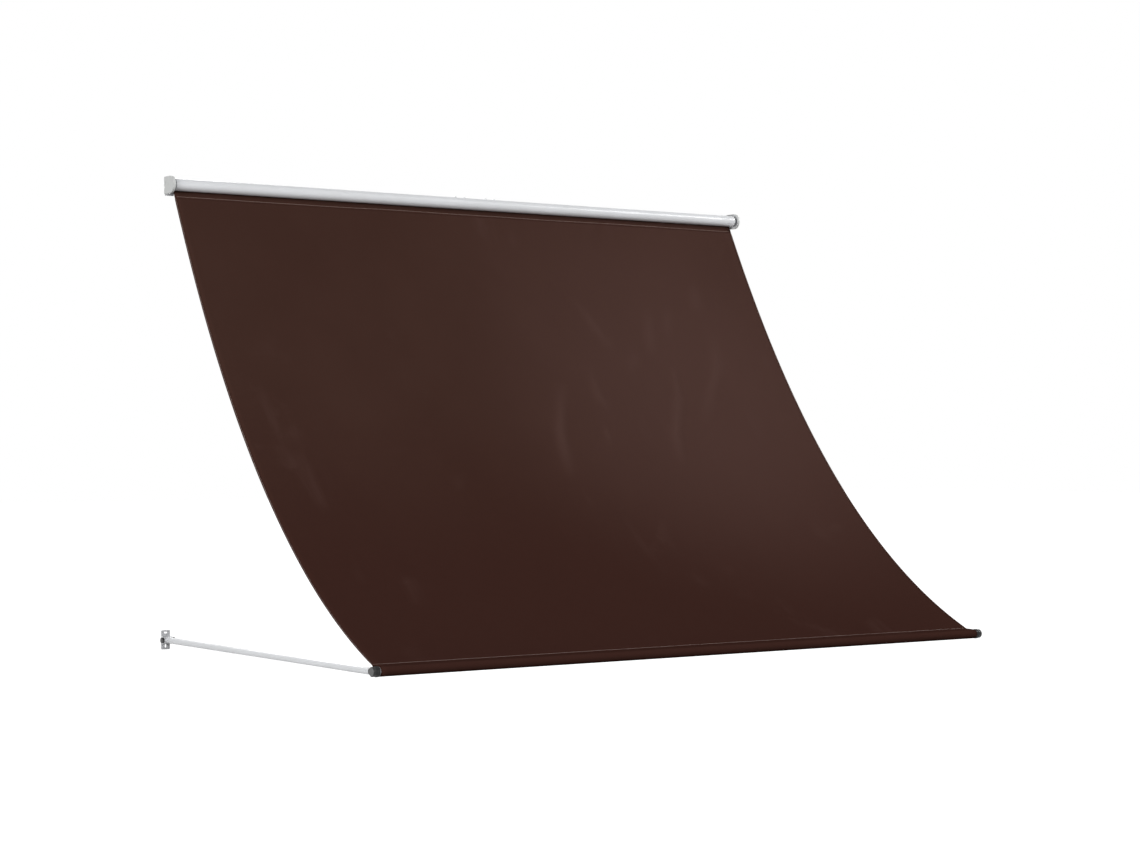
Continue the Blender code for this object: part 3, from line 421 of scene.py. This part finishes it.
plain = {
    ("white", WHITE): sided("top_bracket", "arm_bracket", "arm_hub", "arm_tube",
                            "roller_tube", "front_bar"),
    ("cover", COVER): sided("end_cover"),
    ("black", JET): sided("corner_knuckle", "bar_end_plug"),
    ("nylon", NYLON): sided("roller_plug") + ["spring_anchor", "hem_rod"],
    ("zinc", ZINC): sided("pivot_bolt", "pivot_nut", "hub_rivet", "corner_rivet")
    + ["roller_sleeve", "idler_pin", "spring_shaft", "bar_joiner"],
    ("spring", SPRING): ["torsion_spring"],
}
dressed = {}
for (slot, finish), nodes in plain.items():
    for node in nodes:
        eased = EASED_EDGE if node != "torsion_spring" else 0.0
        dressed[node] = dress(node, finish, eased)
    print(slot, len(nodes), "nodes dressed")


# %% [markdown]
# The corner mouldings are glossy black. The round face at their outer end
# catches the light, and that light is painted on as a rougher dark grey finish.
# It is the same piece, so only the faces at its outer end get the second finish.

# %% Painted light on the end faces
FACE_DEPTH = 0.0004
for side in ("left", "right"):
    knuckle = dressed[f"corner_knuckle_{side}"]
    knuckle.data.materials.append(LIT_FACE_PAINT)
    outer = max(abs(corner[0]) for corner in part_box(f"corner_knuckle_{side}"))
    lit = [face for face in knuckle.data.polygons if abs(face.center.x) > outer - FACE_DEPTH]
    for face in lit:
        face.material_index = 1
    print(f"{side} corner: {len(lit)} matt faces")


# %% [markdown]
# Round parts are best turned: half an outline, spun about its axis. A helper
# takes the outline as places along the axis and radii, and joins the last step
# to the first. The pivot caps get a soft dome and a small dimple at the gate.

# %% Turned pieces
def spun(outline, axis, centre, steps):
    """Spin an outline of (place along the axis, radius) points round an axis."""
    shape = bmesh.new()
    direction = Vector(axis)
    aside = Vector((0, 0, 1)) if abs(direction.z) < 0.5 else Vector((1, 0, 0))
    verts = [shape.verts.new(Vector(centre) + direction * along + aside * radius)
             for along, radius in outline]
    edges = [shape.edges.new(pair) for pair in zip(verts, verts[1:])]
    bmesh.ops.spin(shape, geom=verts + edges, cent=centre, axis=axis, angle=math.tau,
                   steps=steps, use_merge=True, use_duplicate=False)
    bmesh.ops.remove_doubles(shape, verts=shape.verts, dist=5e-6)
    bmesh.ops.recalc_face_normals(shape, faces=shape.faces)
    return shape


def quarter(centre, radius, start, end, steps):
    """Points of an arc, with both ends; angles in degrees."""
    angles = [math.radians(start + (end - start) * i / steps) for i in range(steps + 1)]
    return [(centre[0] + radius * math.cos(a), centre[1] + radius * math.sin(a))
            for a in angles]


CAP_ROUND = 0.0016           # round between the cap's side and its dome
CAP_HOLLOW = 0.0078          # radius of the hollow over the bolt's head
CAP_ROOF = 0.0014
CAP_FOOT = 0.0004            # slant at the open rim
CAP_CROWN = 0.0001           # how much higher the middle is than half way out
GATE_RIM = 0.0022
GATE_RADIUS = 0.0016
GATE_DEPTH = 0.0003


def pivot_cap(node):
    """Domed cap on a pivot, hollow over the bolt's head."""
    low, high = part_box(node)
    centre = middle(node)
    outward = 1 if (centre.x > 0) == ("outer" in node) else -1
    depth = high[0] - low[0]
    radius = (high[2] - low[2]) / 2
    roof = depth - CAP_ROOF
    outline = [(roof, 0), (roof, CAP_HOLLOW), (0, CAP_HOLLOW), (0, radius - CAP_FOOT),
               (CAP_FOOT, radius)]
    outline += quarter((depth - CAP_ROUND, radius - CAP_ROUND), CAP_ROUND, 90, 8, 5)
    outline += [(depth - CAP_CROWN, radius * 0.55), (depth, GATE_RIM),
                (depth - GATE_DEPTH, GATE_RADIUS), (depth - GATE_DEPTH, 0)]
    base = low[0] if outward > 0 else high[0]
    shape = spun(outline, (outward, 0, 0), (base, centre.y, centre.z), 56)
    piece = to_object(shape, node + "_domed", BLACK, 40.0)
    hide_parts(node)
    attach(piece, body_of(node))
    return piece


caps = [pivot_cap(f"pivot_cap_{side}_{place}")
        for side in ("left", "right") for place in ("outer", "inner")]
print("pivot caps:", len(caps), "with", len(caps[0].data.polygons), "faces each")


# %% [markdown]
# The roller's screws have a rounded head, turned as the caps are, and a cross
# recess. A recess is a cut, so two crossed blades are taken out of the head with
# an exact Boolean, which keeps the mesh closed.

# %% Roller screws
SCREW_SHANK = 0.0020         # radius of the shank
SCREW_DOME = ((0.0, 0.97), (0.12, 1.0), (0.35, 0.97), (0.6, 0.84), (0.8, 0.64),
              (0.93, 0.38), (1.0, 0.0))    # shares of the head's height and radius
RECESS_LENGTH = 1.15         # shares of the head's radius
RECESS_WIDTH = 0.28
RECESS_LIFT = 0.08           # share of the head's height
FIRST_TURN = 0.6
TURN_PER_METRE = 40


def cut_from(shape, cutter):
    """Cut an object out of a bmesh with an exact Boolean, and drop the object."""
    mesh = bpy.data.meshes.new("blank")
    shape.to_mesh(mesh)
    shape.free()
    blank = bpy.data.objects.new("blank", mesh)
    bpy.context.scene.collection.objects.link(blank)
    step = blank.modifiers.new("recess", "BOOLEAN")
    step.operation = "DIFFERENCE"
    step.solver = "EXACT"
    step.object = cutter
    depsgraph = bpy.context.evaluated_depsgraph_get()
    result = bmesh.new()
    result.from_object(blank, depsgraph)
    for old in (blank, cutter):
        bpy.data.objects.remove(old, do_unlink=True)
    return result


def roller_screw(node):
    """Domed screw with a cross recess, turned a little differently each time."""
    low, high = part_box(node)
    centre = middle(node)
    seat = ROLLER[1] + ROLLER_RADIUS + SEAT
    height = high[2] - seat
    head = (high[0] - low[0]) / 2
    dome = [(seat + height * share, head * radius) for share, radius in SCREW_DOME]
    outline = [(low[2], 0), (low[2] + SCREW_SHANK / 2, SCREW_SHANK), (seat, SCREW_SHANK)]
    outline += dome
    outline = [(along - seat, radius) for along, radius in outline]
    shape = spun(outline, (0, 0, 1), (centre.x, centre.y, seat), 32)
    turn = FIRST_TURN + TURN_PER_METRE * centre.x
    for quarter_turn in (0, math.pi / 2):
        blade = bmesh.new()
        bmesh.ops.create_cube(blade, size=1.0)
        size = Matrix.Diagonal((head * RECESS_LENGTH, head * RECESS_WIDTH, height, 1.0))
        spin = Matrix.Rotation(turn + quarter_turn, 4, "Z")
        lift = Matrix.Translation((centre.x, centre.y, high[2] + height * RECESS_LIFT))
        bmesh.ops.transform(blade, matrix=lift @ spin @ size, verts=blade.verts)
        mesh = bpy.data.meshes.new("recess_blade")
        blade.to_mesh(mesh)
        blade.free()
        cutter = bpy.data.objects.new("recess_blade", mesh)
        bpy.context.scene.collection.objects.link(cutter)
        shape = cut_from(shape, cutter)
    piece = to_object(shape, node + "_recessed", ZINC, 38.0)
    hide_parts(node)
    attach(piece, body_of(node))
    return piece


screws = [roller_screw(f"roller_screw_{number}") for number in (1, 2, 3, 4)]
print("roller screws:", len(screws), "with", len(screws[0].data.polygons), "faces each")


# %% [markdown]
# The cloth hangs in one curve. A sheet with no stiffness, held at its two ends,
# hangs in the curve of a chain, and its own slack says how deep. The curve is
# found by halving: a small scale hangs deep, a large one is nearly straight.
# It leaves the roller where the curve's slope meets the tube's. Its low end is
# the pocket's seam: the cloth pulls on the bar in a line through the bar's
# axis, so the seam lies behind the bar on that line. The loop below repeats
# this a fixed number of rounds, so that both ends settle.

# %% The hanging curve
SPARE_CLOTH = 0.0415         # cloth that hangs free beyond the straight distance
TOP_HEM = 0.042
POCKET_SEAM = 0.042          # from the bar's axis back to the seam
POCKET_HEM = 0.010
LAYER = CLOTH + LAYER_GAP
HALVINGS = 80
SETTLING_ROUNDS = 12


def chain_curve(start, end, length):
    """Height and slope of a hanging chain of this length, as two functions."""
    span = start[0] - end[0]
    drop = start[1] - end[1]
    target = math.sqrt(length ** 2 - drop ** 2)
    low, high = span / 20, span * 200
    for _ in range(HALVINGS):
        scale = (low + high) / 2
        if 2 * scale * math.sinh(span / (2 * scale)) > target:
            low = scale
        else:
            high = scale
    lowest = (start[0] + end[0]) / 2 - scale * math.atanh(drop / length)
    base = start[1] - scale * math.cosh((start[0] - lowest) / scale)
    return (lambda y: base + scale * math.cosh((y - lowest) / scale),
            lambda y: math.sinh((y - lowest) / scale))


ROLL = ROLLER_RADIUS + SEAT + 1.5 * CLOTH + LAYER_GAP
RING = BAR_RADIUS + SEAT + CLOTH / 2
leave = arrive = math.radians(20)
for _ in range(SETTLING_ROUNDS):
    exit_point = (ROLLER[0] + ROLL * math.cos(leave), ROLLER[1] - ROLL * math.sin(leave))
    land_point = (BAR[0] + POCKET_SEAM * math.cos(arrive),
                  BAR[1] + POCKET_SEAM * math.sin(arrive))
    height, slope = chain_curve(exit_point, land_point,
                                math.dist(exit_point, land_point) + SPARE_CLOTH)
    leave = math.atan2(1, slope(exit_point[0]))
    arrive = math.atan(slope(land_point[0]))
print(f"cloth leaves the roller {math.degrees(leave):.1f} degrees under level,")
print(f"and reaches its seam at a slope of {math.degrees(arrive):.1f} degrees")


# %% [markdown]
# One strip of cloth makes the whole cover. Seen from the side its middle line
# starts at the cut end of the top hem, climbs to the roller, dips into the
# roller's channel round the hem rod, comes out as a second layer, hangs down to
# the seam and wraps the bar as a pocket, which is drop-shaped from the side.
# The channel's direction is taken from the hem rod's own place.

# %% The cloth's middle line
HEM_ROD = extent("hem_rod").z / 2
HEM_BEND = 0.0009
rod_place = middle("hem_rod").yz
CHANNEL_ANGLE = math.atan2(rod_place[1] - ROLLER[1], rod_place[0] - ROLLER[0])
CHANNEL_CENTRE = (rod_place - ROLLER).length
PANEL_STEPS = 150


def arc(centre, radius, start, end, steps):
    """Points on an arc of the side view, with both ends."""
    turn = (end - start) / steps
    return [(centre[0] + radius * math.cos(start + turn * i),
             centre[1] + radius * math.sin(start + turn * i)) for i in range(steps + 1)]


def channel_point(radius, across):
    """Point seen from the roller's axis along the channel's direction."""
    c, s = math.cos(CHANNEL_ANGLE), math.sin(CHANNEL_ANGLE)
    return (ROLLER[0] + radius * c - across * s, ROLLER[1] + radius * s + across * c)


def on_curve(y, below=0.0):
    """Point of the hanging curve, or one below it by a distance."""
    size = math.hypot(1, slope(y))
    return (y + below * slope(y) / size, height(y) - below / size)


def steps_between(start, end, steps):
    return [start + (end - start) * i / steps for i in range(steps + 1)]


inner = ROLLER_RADIUS + SEAT + CLOTH / 2
across = -LAYER / 2 - HEM_BEND
corner = channel_point(inner - HEM_BEND, across)
first = CHANNEL_ANGLE + across / inner
loop = HEM_ROD + SEAT + CLOTH / 2
neck = math.asin(LAYER / 2 / loop)
right = math.pi / 2
hem_start = exit_point[0] - TOP_HEM * math.sin(leave)
line = [on_curve(y, -LAYER) for y in steps_between(hem_start, exit_point[0], 6)][:-1]
line += arc(ROLLER, inner, -leave, first, 16)[:-1]
line += arc(corner, HEM_BEND, CHANNEL_ANGLE, CHANNEL_ANGLE + right, 4)
line += arc(channel_point(CHANNEL_CENTRE, 0), loop, CHANNEL_ANGLE - neck,
            CHANNEL_ANGLE + neck - math.tau, 20)
line += arc(corner, HEM_BEND + LAYER, CHANNEL_ANGLE + right, CHANNEL_ANGLE, 5)
line += arc(ROLLER, inner + LAYER, first, -leave, 16)[1:]
leave_row = len(line) - 1
line += [on_curve(y) for y in steps_between(exit_point[0], land_point[0], PANEL_STEPS)[1:]]
land_row = len(line) - 1
open_angle = math.acos(RING / POCKET_SEAM)
line += arc(BAR, RING, arrive + open_angle, arrive + math.tau - open_angle, 40)
hem_end = land_point[0] + POCKET_HEM * math.cos(arrive)
line += [on_curve(y, LAYER) for y in steps_between(land_point[0], hem_end, 3)]

down = [0.0]
for before, after in zip(line, line[1:]):
    down.append(down[-1] + math.dist(before, after))
print(f"free cloth between roller and bar {down[land_row] - down[leave_row]:.3f} m")


# %% [markdown]
# Cloth that has been rolled up keeps soft creases. The photograph shows them as
# faint pale streaks, most of them right of the middle: shallow ridges, three
# fingers wide and two to four millimetres high, that run down the cloth. Each
# one follows a line of a few places with its own height, and slow noise keeps
# the rest from being too even. Towards the roller, the bar and the stitched
# edges the cloth is held, so the waves die out there.

# %% Soft creases
CREASE_HALF_WIDTH = 0.022
CREASES = (
    # height, then places as (metres right of the middle, metres down the panel)
    (0.0026, ((0.951, 0.295), (0.919, 0.424))),
    (0.0035, ((0.952, 0.554), (0.923, 0.668), (0.828, 0.802), (0.741, 0.925))),
    (0.0026, ((0.776, 0.419), (0.728, 0.538))),
    (0.0031, ((0.677, 0.441), (0.617, 0.622))),
    (0.0040, ((0.699, 0.688), (0.662, 0.826), (0.566, 1.003), (0.537, 1.118))),
    (0.0037, ((0.139, 0.792), (0.048, 0.990), (0.006, 1.174))),
    (0.0022, ((0.258, 0.971), (0.244, 1.039))),
    (0.0026, ((0.302, 0.708), (0.285, 0.831), (0.306, 0.883))),
    (0.0020, ((0.551, 0.622), (0.482, 0.708))),
    (0.0026, ((0.356, 0.408), (0.435, 0.606))),
)
FREE = down[land_row] - down[leave_row]
SLOW_WAVE = 0.0060
FINE_WAVE = 0.0020
HELD_TOP = (0.06, 0.45)      # where the waves begin under the roller, and over what length
HELD_LOW = (0.05, 0.40)      # the same above the seam
EDGE_SHARE = 0.25            # what is left of the waves at the side edges
EDGE_REACH = 0.18


def ease(value):
    value = min(1.0, max(0.0, value))
    return value * value * (3 - 2 * value)


def reach(x, s, start, end, number):
    """Distance from a place to one straight piece of a crease, and where along it."""
    ax, bx = end[0] - start[0], x - start[0]
    ay, by = end[1] - start[1], s - start[1]
    share = min(1.0, max(0.0, (ax * bx + ay * by) / (ax * ax + ay * ay)))
    return math.hypot(bx - ax * share, by - ay * share), number + share


def ridge(x, s):
    """Height of the creases alone at a place on the cloth."""
    rise = 0.0
    for top, places in CREASES:
        near, along = min(reach(x, s, a, b, number)
                          for number, (a, b) in enumerate(zip(places, places[1:])))
        fade = math.sin(math.pi * (0.10 + 0.80 * along / (len(places) - 1)))
        wide = CREASE_HALF_WIDTH * (1 + 0.5 * noise.noise(Vector((x * 6, s * 6, top * 900))))
        rise += top * fade * math.exp(-(near / wide) ** 2)
    return rise


def crease_height(x, s):
    """How far the cloth stands off its even curve, at x and s metres down."""
    if s <= 0 or s >= FREE:
        return 0.0
    slow = noise.noise(Vector((x * 1.7, s * 1.2, 3.7))) * SLOW_WAVE
    fine = noise.noise(Vector((x * 7.5, s * 2.6, 9.2))) * FINE_WAVE
    held = ease((s - HELD_TOP[0]) / HELD_TOP[1]) * ease((FREE - HELD_LOW[0] - s) / HELD_LOW[1])
    edge = EDGE_SHARE + (1 - EDGE_SHARE) * ease((SHEET_HALF - abs(x)) / EDGE_REACH)
    return (ridge(x, s) + slow + fine) * held * edge


def cloth_point(x, s, lift=0.0):
    """Point of the hung cloth at x and s metres down the panel, with its frame."""
    place = down[leave_row] + s
    row = leave_row
    while row < land_row - 1 and down[row + 1] < place:
        row += 1
    share = (place - down[row]) / (down[row + 1] - down[row])
    a, b = Vector(line[row]), Vector(line[row + 1])
    tangent = (b - a).normalized()
    up = Vector((tangent.y, -tangent.x))
    if up.y < 0:
        up = -up
    flat = a.lerp(b, share) + up * (crease_height(x, s) + lift)
    return Vector((x, *flat)), Vector((0, *tangent)), Vector((0, *up))


CREASE_TOP = max(top for top, places in CREASES)
print("creases:", len(CREASES), "at most", CREASE_TOP * 1000, "mm high")


# %% [markdown]
# The cover itself is one grid: a row for each point of the middle line, and
# columns that stand closer where the creases are. A Solidify step gives it the
# cloth's thickness. Its UV map is in metres, so that the weave keeps its size,
# and each vertex keeps how high its crease is, for the painted highlight along
# the crease ridges.

# %% Make the cloth
HEM_WRAP = 0.0009
cloth_half = SHEET_HALF - HEM_WRAP
CREASED = (-0.05, 1.02)      # the stretch of width that holds the creases
columns = steps_between(-cloth_half, CREASED[0], 48)[:-1]
columns += steps_between(*CREASED, 124)[:-1]
columns += steps_between(CREASED[1], cloth_half, 12)


def make_cloth():
    shape = bmesh.new()
    uv_layer = shape.loops.layers.uv.new("cloth")
    ridge_highlight_layer = shape.verts.layers.float.new("crease")
    rows = []
    for row, (y, z) in enumerate(line):
        s = down[row] - down[leave_row]
        verts = []
        for x in columns:
            if leave_row < row < land_row:
                place = cloth_point(x, s)[0]
            else:
                place = Vector((x, y, z))
            vert = shape.verts.new(place)
            # The painted highlight along the crease ridges follows each crease's height.
            vert[ridge_highlight_layer] = min(1.0, ridge(x, s) / CREASE_TOP)
            verts.append(vert)
        rows.append(verts)
    for row in range(len(rows) - 1):
        for column in range(len(columns) - 1):
            corners = ((row, column), (row + 1, column), (row + 1, column + 1),
                       (row, column + 1))
            face = shape.faces.new([rows[r][c] for r, c in corners])
            for loop_corner, (r, c) in zip(face.loops, corners):
                loop_corner[uv_layer].uv = (columns[c], -down[r])
    piece = to_object(shape, "awning_cloth", CLOTH_FINISH, 60.0)
    settle(piece, "SOLIDIFY", thickness=CLOTH, offset=0.0)
    return piece


cloth = make_cloth()
print("cloth:", len(cloth.data.polygons), "faces")


# %% [markdown]
# The side edges are turned under and stitched, so they show as a narrow darker
# band and a thicker edge. The hem is a folded strip, C-shaped in section, that
# holds the cloth's edge. It is swept down the panel with the cloth's own
# creases, and stops where the top hem and the pocket already make two layers.

# %% Side hems
HEM_TOP_WIDTH = 0.0048
HEM_UNDER_WIDTH = 0.018
HEM_STEPS = 150
HEM_CLEAR = 0.004            # from the end of a side hem to the hem across
HEM_EASE = 0.0001            # play between the cloth's cut edge and the fold
HEM_FINISH = awning_cloth("brown_hem_cloth", False)
panel_from = TOP_HEM + HEM_CLEAR
panel_to = FREE - POCKET_HEM - HEM_CLEAR


def hem_section():
    """Section of the folded edge: distance in from the edge, and height."""
    inside = CLOTH / 2 + HEM_EASE / 2
    outside = inside + CLOTH
    bend = quarter((HEM_WRAP, 0), HEM_WRAP, 120, 240, 4)
    section = [(HEM_TOP_WIDTH, inside), (HEM_TOP_WIDTH, outside)]
    section += [(distance, rise) for distance, rise in bend]
    section += [(HEM_UNDER_WIDTH, -outside), (HEM_UNDER_WIDTH, -inside),
                (HEM_WRAP + HEM_EASE, -inside), (HEM_WRAP + HEM_EASE, inside)]
    return section


def side_hem(side_name, side):
    shape = bmesh.new()
    uv_layer = shape.loops.layers.uv.new("cloth")
    section = hem_section()
    rings = []
    stations = steps_between(panel_from, panel_to, HEM_STEPS)
    for s in stations:
        ring = []
        for distance, rise in section:
            x = side * (SHEET_HALF - distance)
            ring.append(shape.verts.new(cloth_point(x, s, rise)[0]))
        rings.append(ring)
    count = len(section)
    for i in range(HEM_STEPS):
        for j in range(count):
            k = (j + 1) % count
            face = shape.faces.new((rings[i][j], rings[i][k], rings[i + 1][k],
                                    rings[i + 1][j]))
            for corner, (r, c) in zip(face.loops, ((i, j), (i, k), (i + 1, k), (i + 1, j))):
                corner[uv_layer].uv = (section[c][0] + section[c][1], -stations[r])
    for ring in (rings[0], rings[-1]):
        shape.faces.new(ring)
    bmesh.ops.recalc_face_normals(shape, faces=shape.faces)
    return to_object(shape, f"side_hem_{side_name}", HEM_FINISH, 50.0)


hems = [side_hem("left", -1), side_hem("right", 1)]
print("side hems:", len(hems), "with", len(hems[0].data.polygons), "faces each")


# %% [markdown]
# Stitches are what says cloth at a glance. Each one is a small round lump of
# thread, 3.6 mm long, sunk a little into the cloth. A row of them runs along
# the top hem, one above the pocket and one down each side hem. The top row
# wanders a little and stops short of the edges, as in the photograph.

# %% Stitches
STITCH = Vector((0.0036, 0.00160, 0.00080))
STITCH_PITCH = 0.0040
TOP_SEAM = 0.007             # from the hem's cut edge to the seam
TOP_SHORT = 0.010            # how far a seam stops short of the cloth's side
TOP_WANDER = 0.0022
POCKET_STITCH = 0.003        # from the end of the free cloth to the seam
POCKET_SHORT = 0.006
POCKET_WANDER = 0.0008
SIDE_SEAM = 0.0036           # from the cloth's side to the seam


def stitch_row(name, stations):
    """Thread lumps at (x, s, height above the middle, runs along the width)."""
    shape = bmesh.new()
    for x, s, lift, along_width in stations:
        place, tangent, up = cloth_point(x, s, lift)
        forward = Vector((1, 0, 0)) if along_width else tangent
        aside = up.cross(forward)
        turn = Matrix((forward, aside, up)).transposed().to_4x4()
        size = Matrix.Diagonal((*(STITCH / 2), 1.0))
        bmesh.ops.create_icosphere(shape, subdivisions=1, radius=1.0,
                                   matrix=Matrix.Translation(place) @ turn @ size)
    return to_object(shape, name, THREAD, 80.0)


def across_row(s, lift, short, wander):
    """A seam across the cloth, with a slow wander of a millimetre or so."""
    half = cloth_half - short
    count = int(2 * half / STITCH_PITCH)
    row = []
    for i in range(count + 1):
        x = -half + 2 * half * i / count
        drift = wander * noise.noise(Vector((x * 3.0, 0.4, 1.3)))
        row.append((x, s + drift, lift, True))
    return row


def side_row(side):
    count = int((panel_to - panel_from) / STITCH_PITCH)
    x = side * (SHEET_HALF - SIDE_SEAM)
    rise = CLOTH * 1.5 + LAYER_GAP
    return [(x, s, rise, False) for s in steps_between(panel_from, panel_to, count)]


top_lift = LAYER + CLOTH / 2
top_places = across_row(TOP_HEM - TOP_SEAM, top_lift, TOP_SHORT, TOP_WANDER)
pocket_places = across_row(FREE - POCKET_STITCH, CLOTH / 2, POCKET_SHORT, POCKET_WANDER)
seams = [
    stitch_row("top_stitches", top_places),
    stitch_row("pocket_stitches", pocket_places),
    stitch_row("side_stitches_left", side_row(-1)),
    stitch_row("side_stitches_right", side_row(1)),
]
FACES_A_STITCH = 20
print("stitches:", sum(len(seam.data.polygons) for seam in seams) // FACES_A_STITCH)


# %% [markdown]
# The cloth crosses the arm joint: its top stays at the wall, its pocket goes
# with the bar. Here the cloth, its hems and its stitches only get their
# transforms applied, and the imported sheet is hidden.

# %% Bake the cloth's pieces in place
for piece in [cloth] + hems + seams:
    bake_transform(piece)
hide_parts("fabric_sheet")


# %% [markdown]
# The stage is a white floor as far below as the ground would be. The camera
# sees it white, with the awning's shadow on it. To the light that bounces off
# it, it is dark, so that the underside of the bar stays as dark as in the
# photograph. Far out it glows as white as the sky, so that no horizon shows.

# %% Floor
FLOOR_DROP = 2.75
FLOOR_FADE = (4.0, 10.0)     # distances over which the floor goes over to plain white


def make_floor():
    shape = bmesh.new()
    bmesh.ops.create_grid(shape, x_segments=1, y_segments=1, size=60.0,
                          matrix=Matrix.Translation((0, 0, -FLOOR_DROP)))
    mesh = bpy.data.meshes.new("floor")
    shape.to_mesh(mesh)
    shape.free()
    floor = bpy.data.objects.new("floor", mesh)
    bpy.context.scene.collection.objects.link(floor)
    finish = Finish("white_floor", 0.9)
    rays = finish.node("LightPath", output="Is Camera Ray")
    rays = rays + finish.node("LightPath", output="Is Glossy Ray")
    rays = rays + finish.node("LightPath", output="Is Transmission Ray")
    seen = rays.between(0.0, 1.0)
    away = finish.node("VectorMath", {"operation": "LENGTH"}, {0: finish.place()}, "Value")
    glow = finish.mix((0.62, 0.62, 0.62), (1.0, 1.0, 1.0), away.between(*FLOOR_FADE))
    finish.set("Base Color", finish.mix((0.08, 0.08, 0.08), (0.90, 0.90, 0.90), seen))
    finish.set("Emission Color", finish.mix((0.0, 0.0, 0.0), glow, seen))
    finish.shader.inputs["Emission Strength"].default_value = 1.0
    finish.shader.inputs["Specular IOR Level"].default_value = 0.0
    mesh.materials.append(finish.material)


make_floor()
print("floor", FLOOR_DROP, "m below the roller")


# %% [markdown]
# Studio light: a key lamp in front on the right, a broad one straight in front,
# one from the left for the covers and arms, one behind for the back, and an
# even grey sky. For the camera and for reflections the sky is plain white.

# %% Light
def soft_lamp(name, place, target, size, power):
    data = bpy.data.lights.new(name, "AREA")
    data.shape = "DISK"
    data.size = size
    data.energy = power
    lamp = bpy.data.objects.new(name, data)
    lamp.location = place
    aim = Vector(target) - Vector(place)
    lamp.rotation_euler = aim.to_track_quat("-Z", "Y").to_euler()
    bpy.context.scene.collection.objects.link(lamp)


soft_lamp("key_lamp", (4.9, -3.6, 2.9), (0.4, -0.5, -0.8), 2.2, 155)
soft_lamp("front_lamp", (-0.5, -8.5, 1.2), (0.0, -0.7, -0.8), 5.0, 305)
soft_lamp("side_lamp", (-8.0, -2.6, -0.1), (-1.2, -0.6, -1.2), 3.0, 370)
soft_lamp("back_lamp", (0.8, 6.0, 3.4), (0.0, -0.3, -0.5), 3.5, 260)


def make_sky():
    world = bpy.data.worlds.new("studio")
    bpy.context.scene.world = world
    world.use_nodes = True
    tree = world.node_tree
    tree.nodes.clear()
    output = tree.nodes.new("ShaderNodeOutputWorld")
    seen = tree.nodes.new("ShaderNodeBackground")
    seen.inputs["Color"].default_value = (1, 1, 1, 1)
    light = tree.nodes.new("ShaderNodeBackground")
    light.inputs["Color"].default_value = (0.97, 0.985, 1.0, 1)
    light.inputs["Strength"].default_value = 0.20
    path = tree.nodes.new("ShaderNodeLightPath")
    either = tree.nodes.new("ShaderNodeMath")
    either.operation = "MAXIMUM"
    any_seen = tree.nodes.new("ShaderNodeMath")
    any_seen.operation = "MAXIMUM"
    choose = tree.nodes.new("ShaderNodeMixShader")
    tree.links.new(path.outputs["Is Camera Ray"], either.inputs[0])
    tree.links.new(path.outputs["Is Glossy Ray"], either.inputs[1])
    tree.links.new(either.outputs[0], any_seen.inputs[0])
    tree.links.new(path.outputs["Is Transmission Ray"], any_seen.inputs[1])
    tree.links.new(any_seen.outputs[0], choose.inputs[0])
    tree.links.new(light.outputs[0], choose.inputs[1])
    tree.links.new(seen.outputs[0], choose.inputs[2])
    tree.links.new(choose.outputs[0], output.inputs["Surface"])


make_sky()
print("lamps and sky set")


# %% [markdown]
# The camera looks level, from in front and to the left, at a height between
# the roller and the arms. Its place, direction and lens were found by fitting
# the awning's own edges to the photograph, 1140 by 855 pixels.

# %% Camera
IMAGE_WIDTH = 1140
FOCAL_PIXELS = 2423.5
HORIZON_DROP = 12.7          # pixels from the picture's middle to the horizon
SENSOR = 36.0
CAMERA_PLACE = (-4.941, -7.709, -0.886)
CAMERA_LOOK = (0.5745, 0.8185, 0.0)

camera_data = bpy.data.cameras.new("camera")
camera_data.sensor_width = SENSOR
camera_data.lens = FOCAL_PIXELS * SENSOR / IMAGE_WIDTH
camera_data.shift_y = HORIZON_DROP / IMAGE_WIDTH
camera = bpy.data.objects.new("camera", camera_data)
camera.location = CAMERA_PLACE
camera.rotation_euler = Vector(CAMERA_LOOK).to_track_quat("-Z", "Y").to_euler()
bpy.context.scene.collection.objects.link(camera)
bpy.context.scene.camera = camera
bpy.context.scene.view_settings.view_transform = "Standard"
print(f"camera: {camera_data.lens:.2f} mm lens")
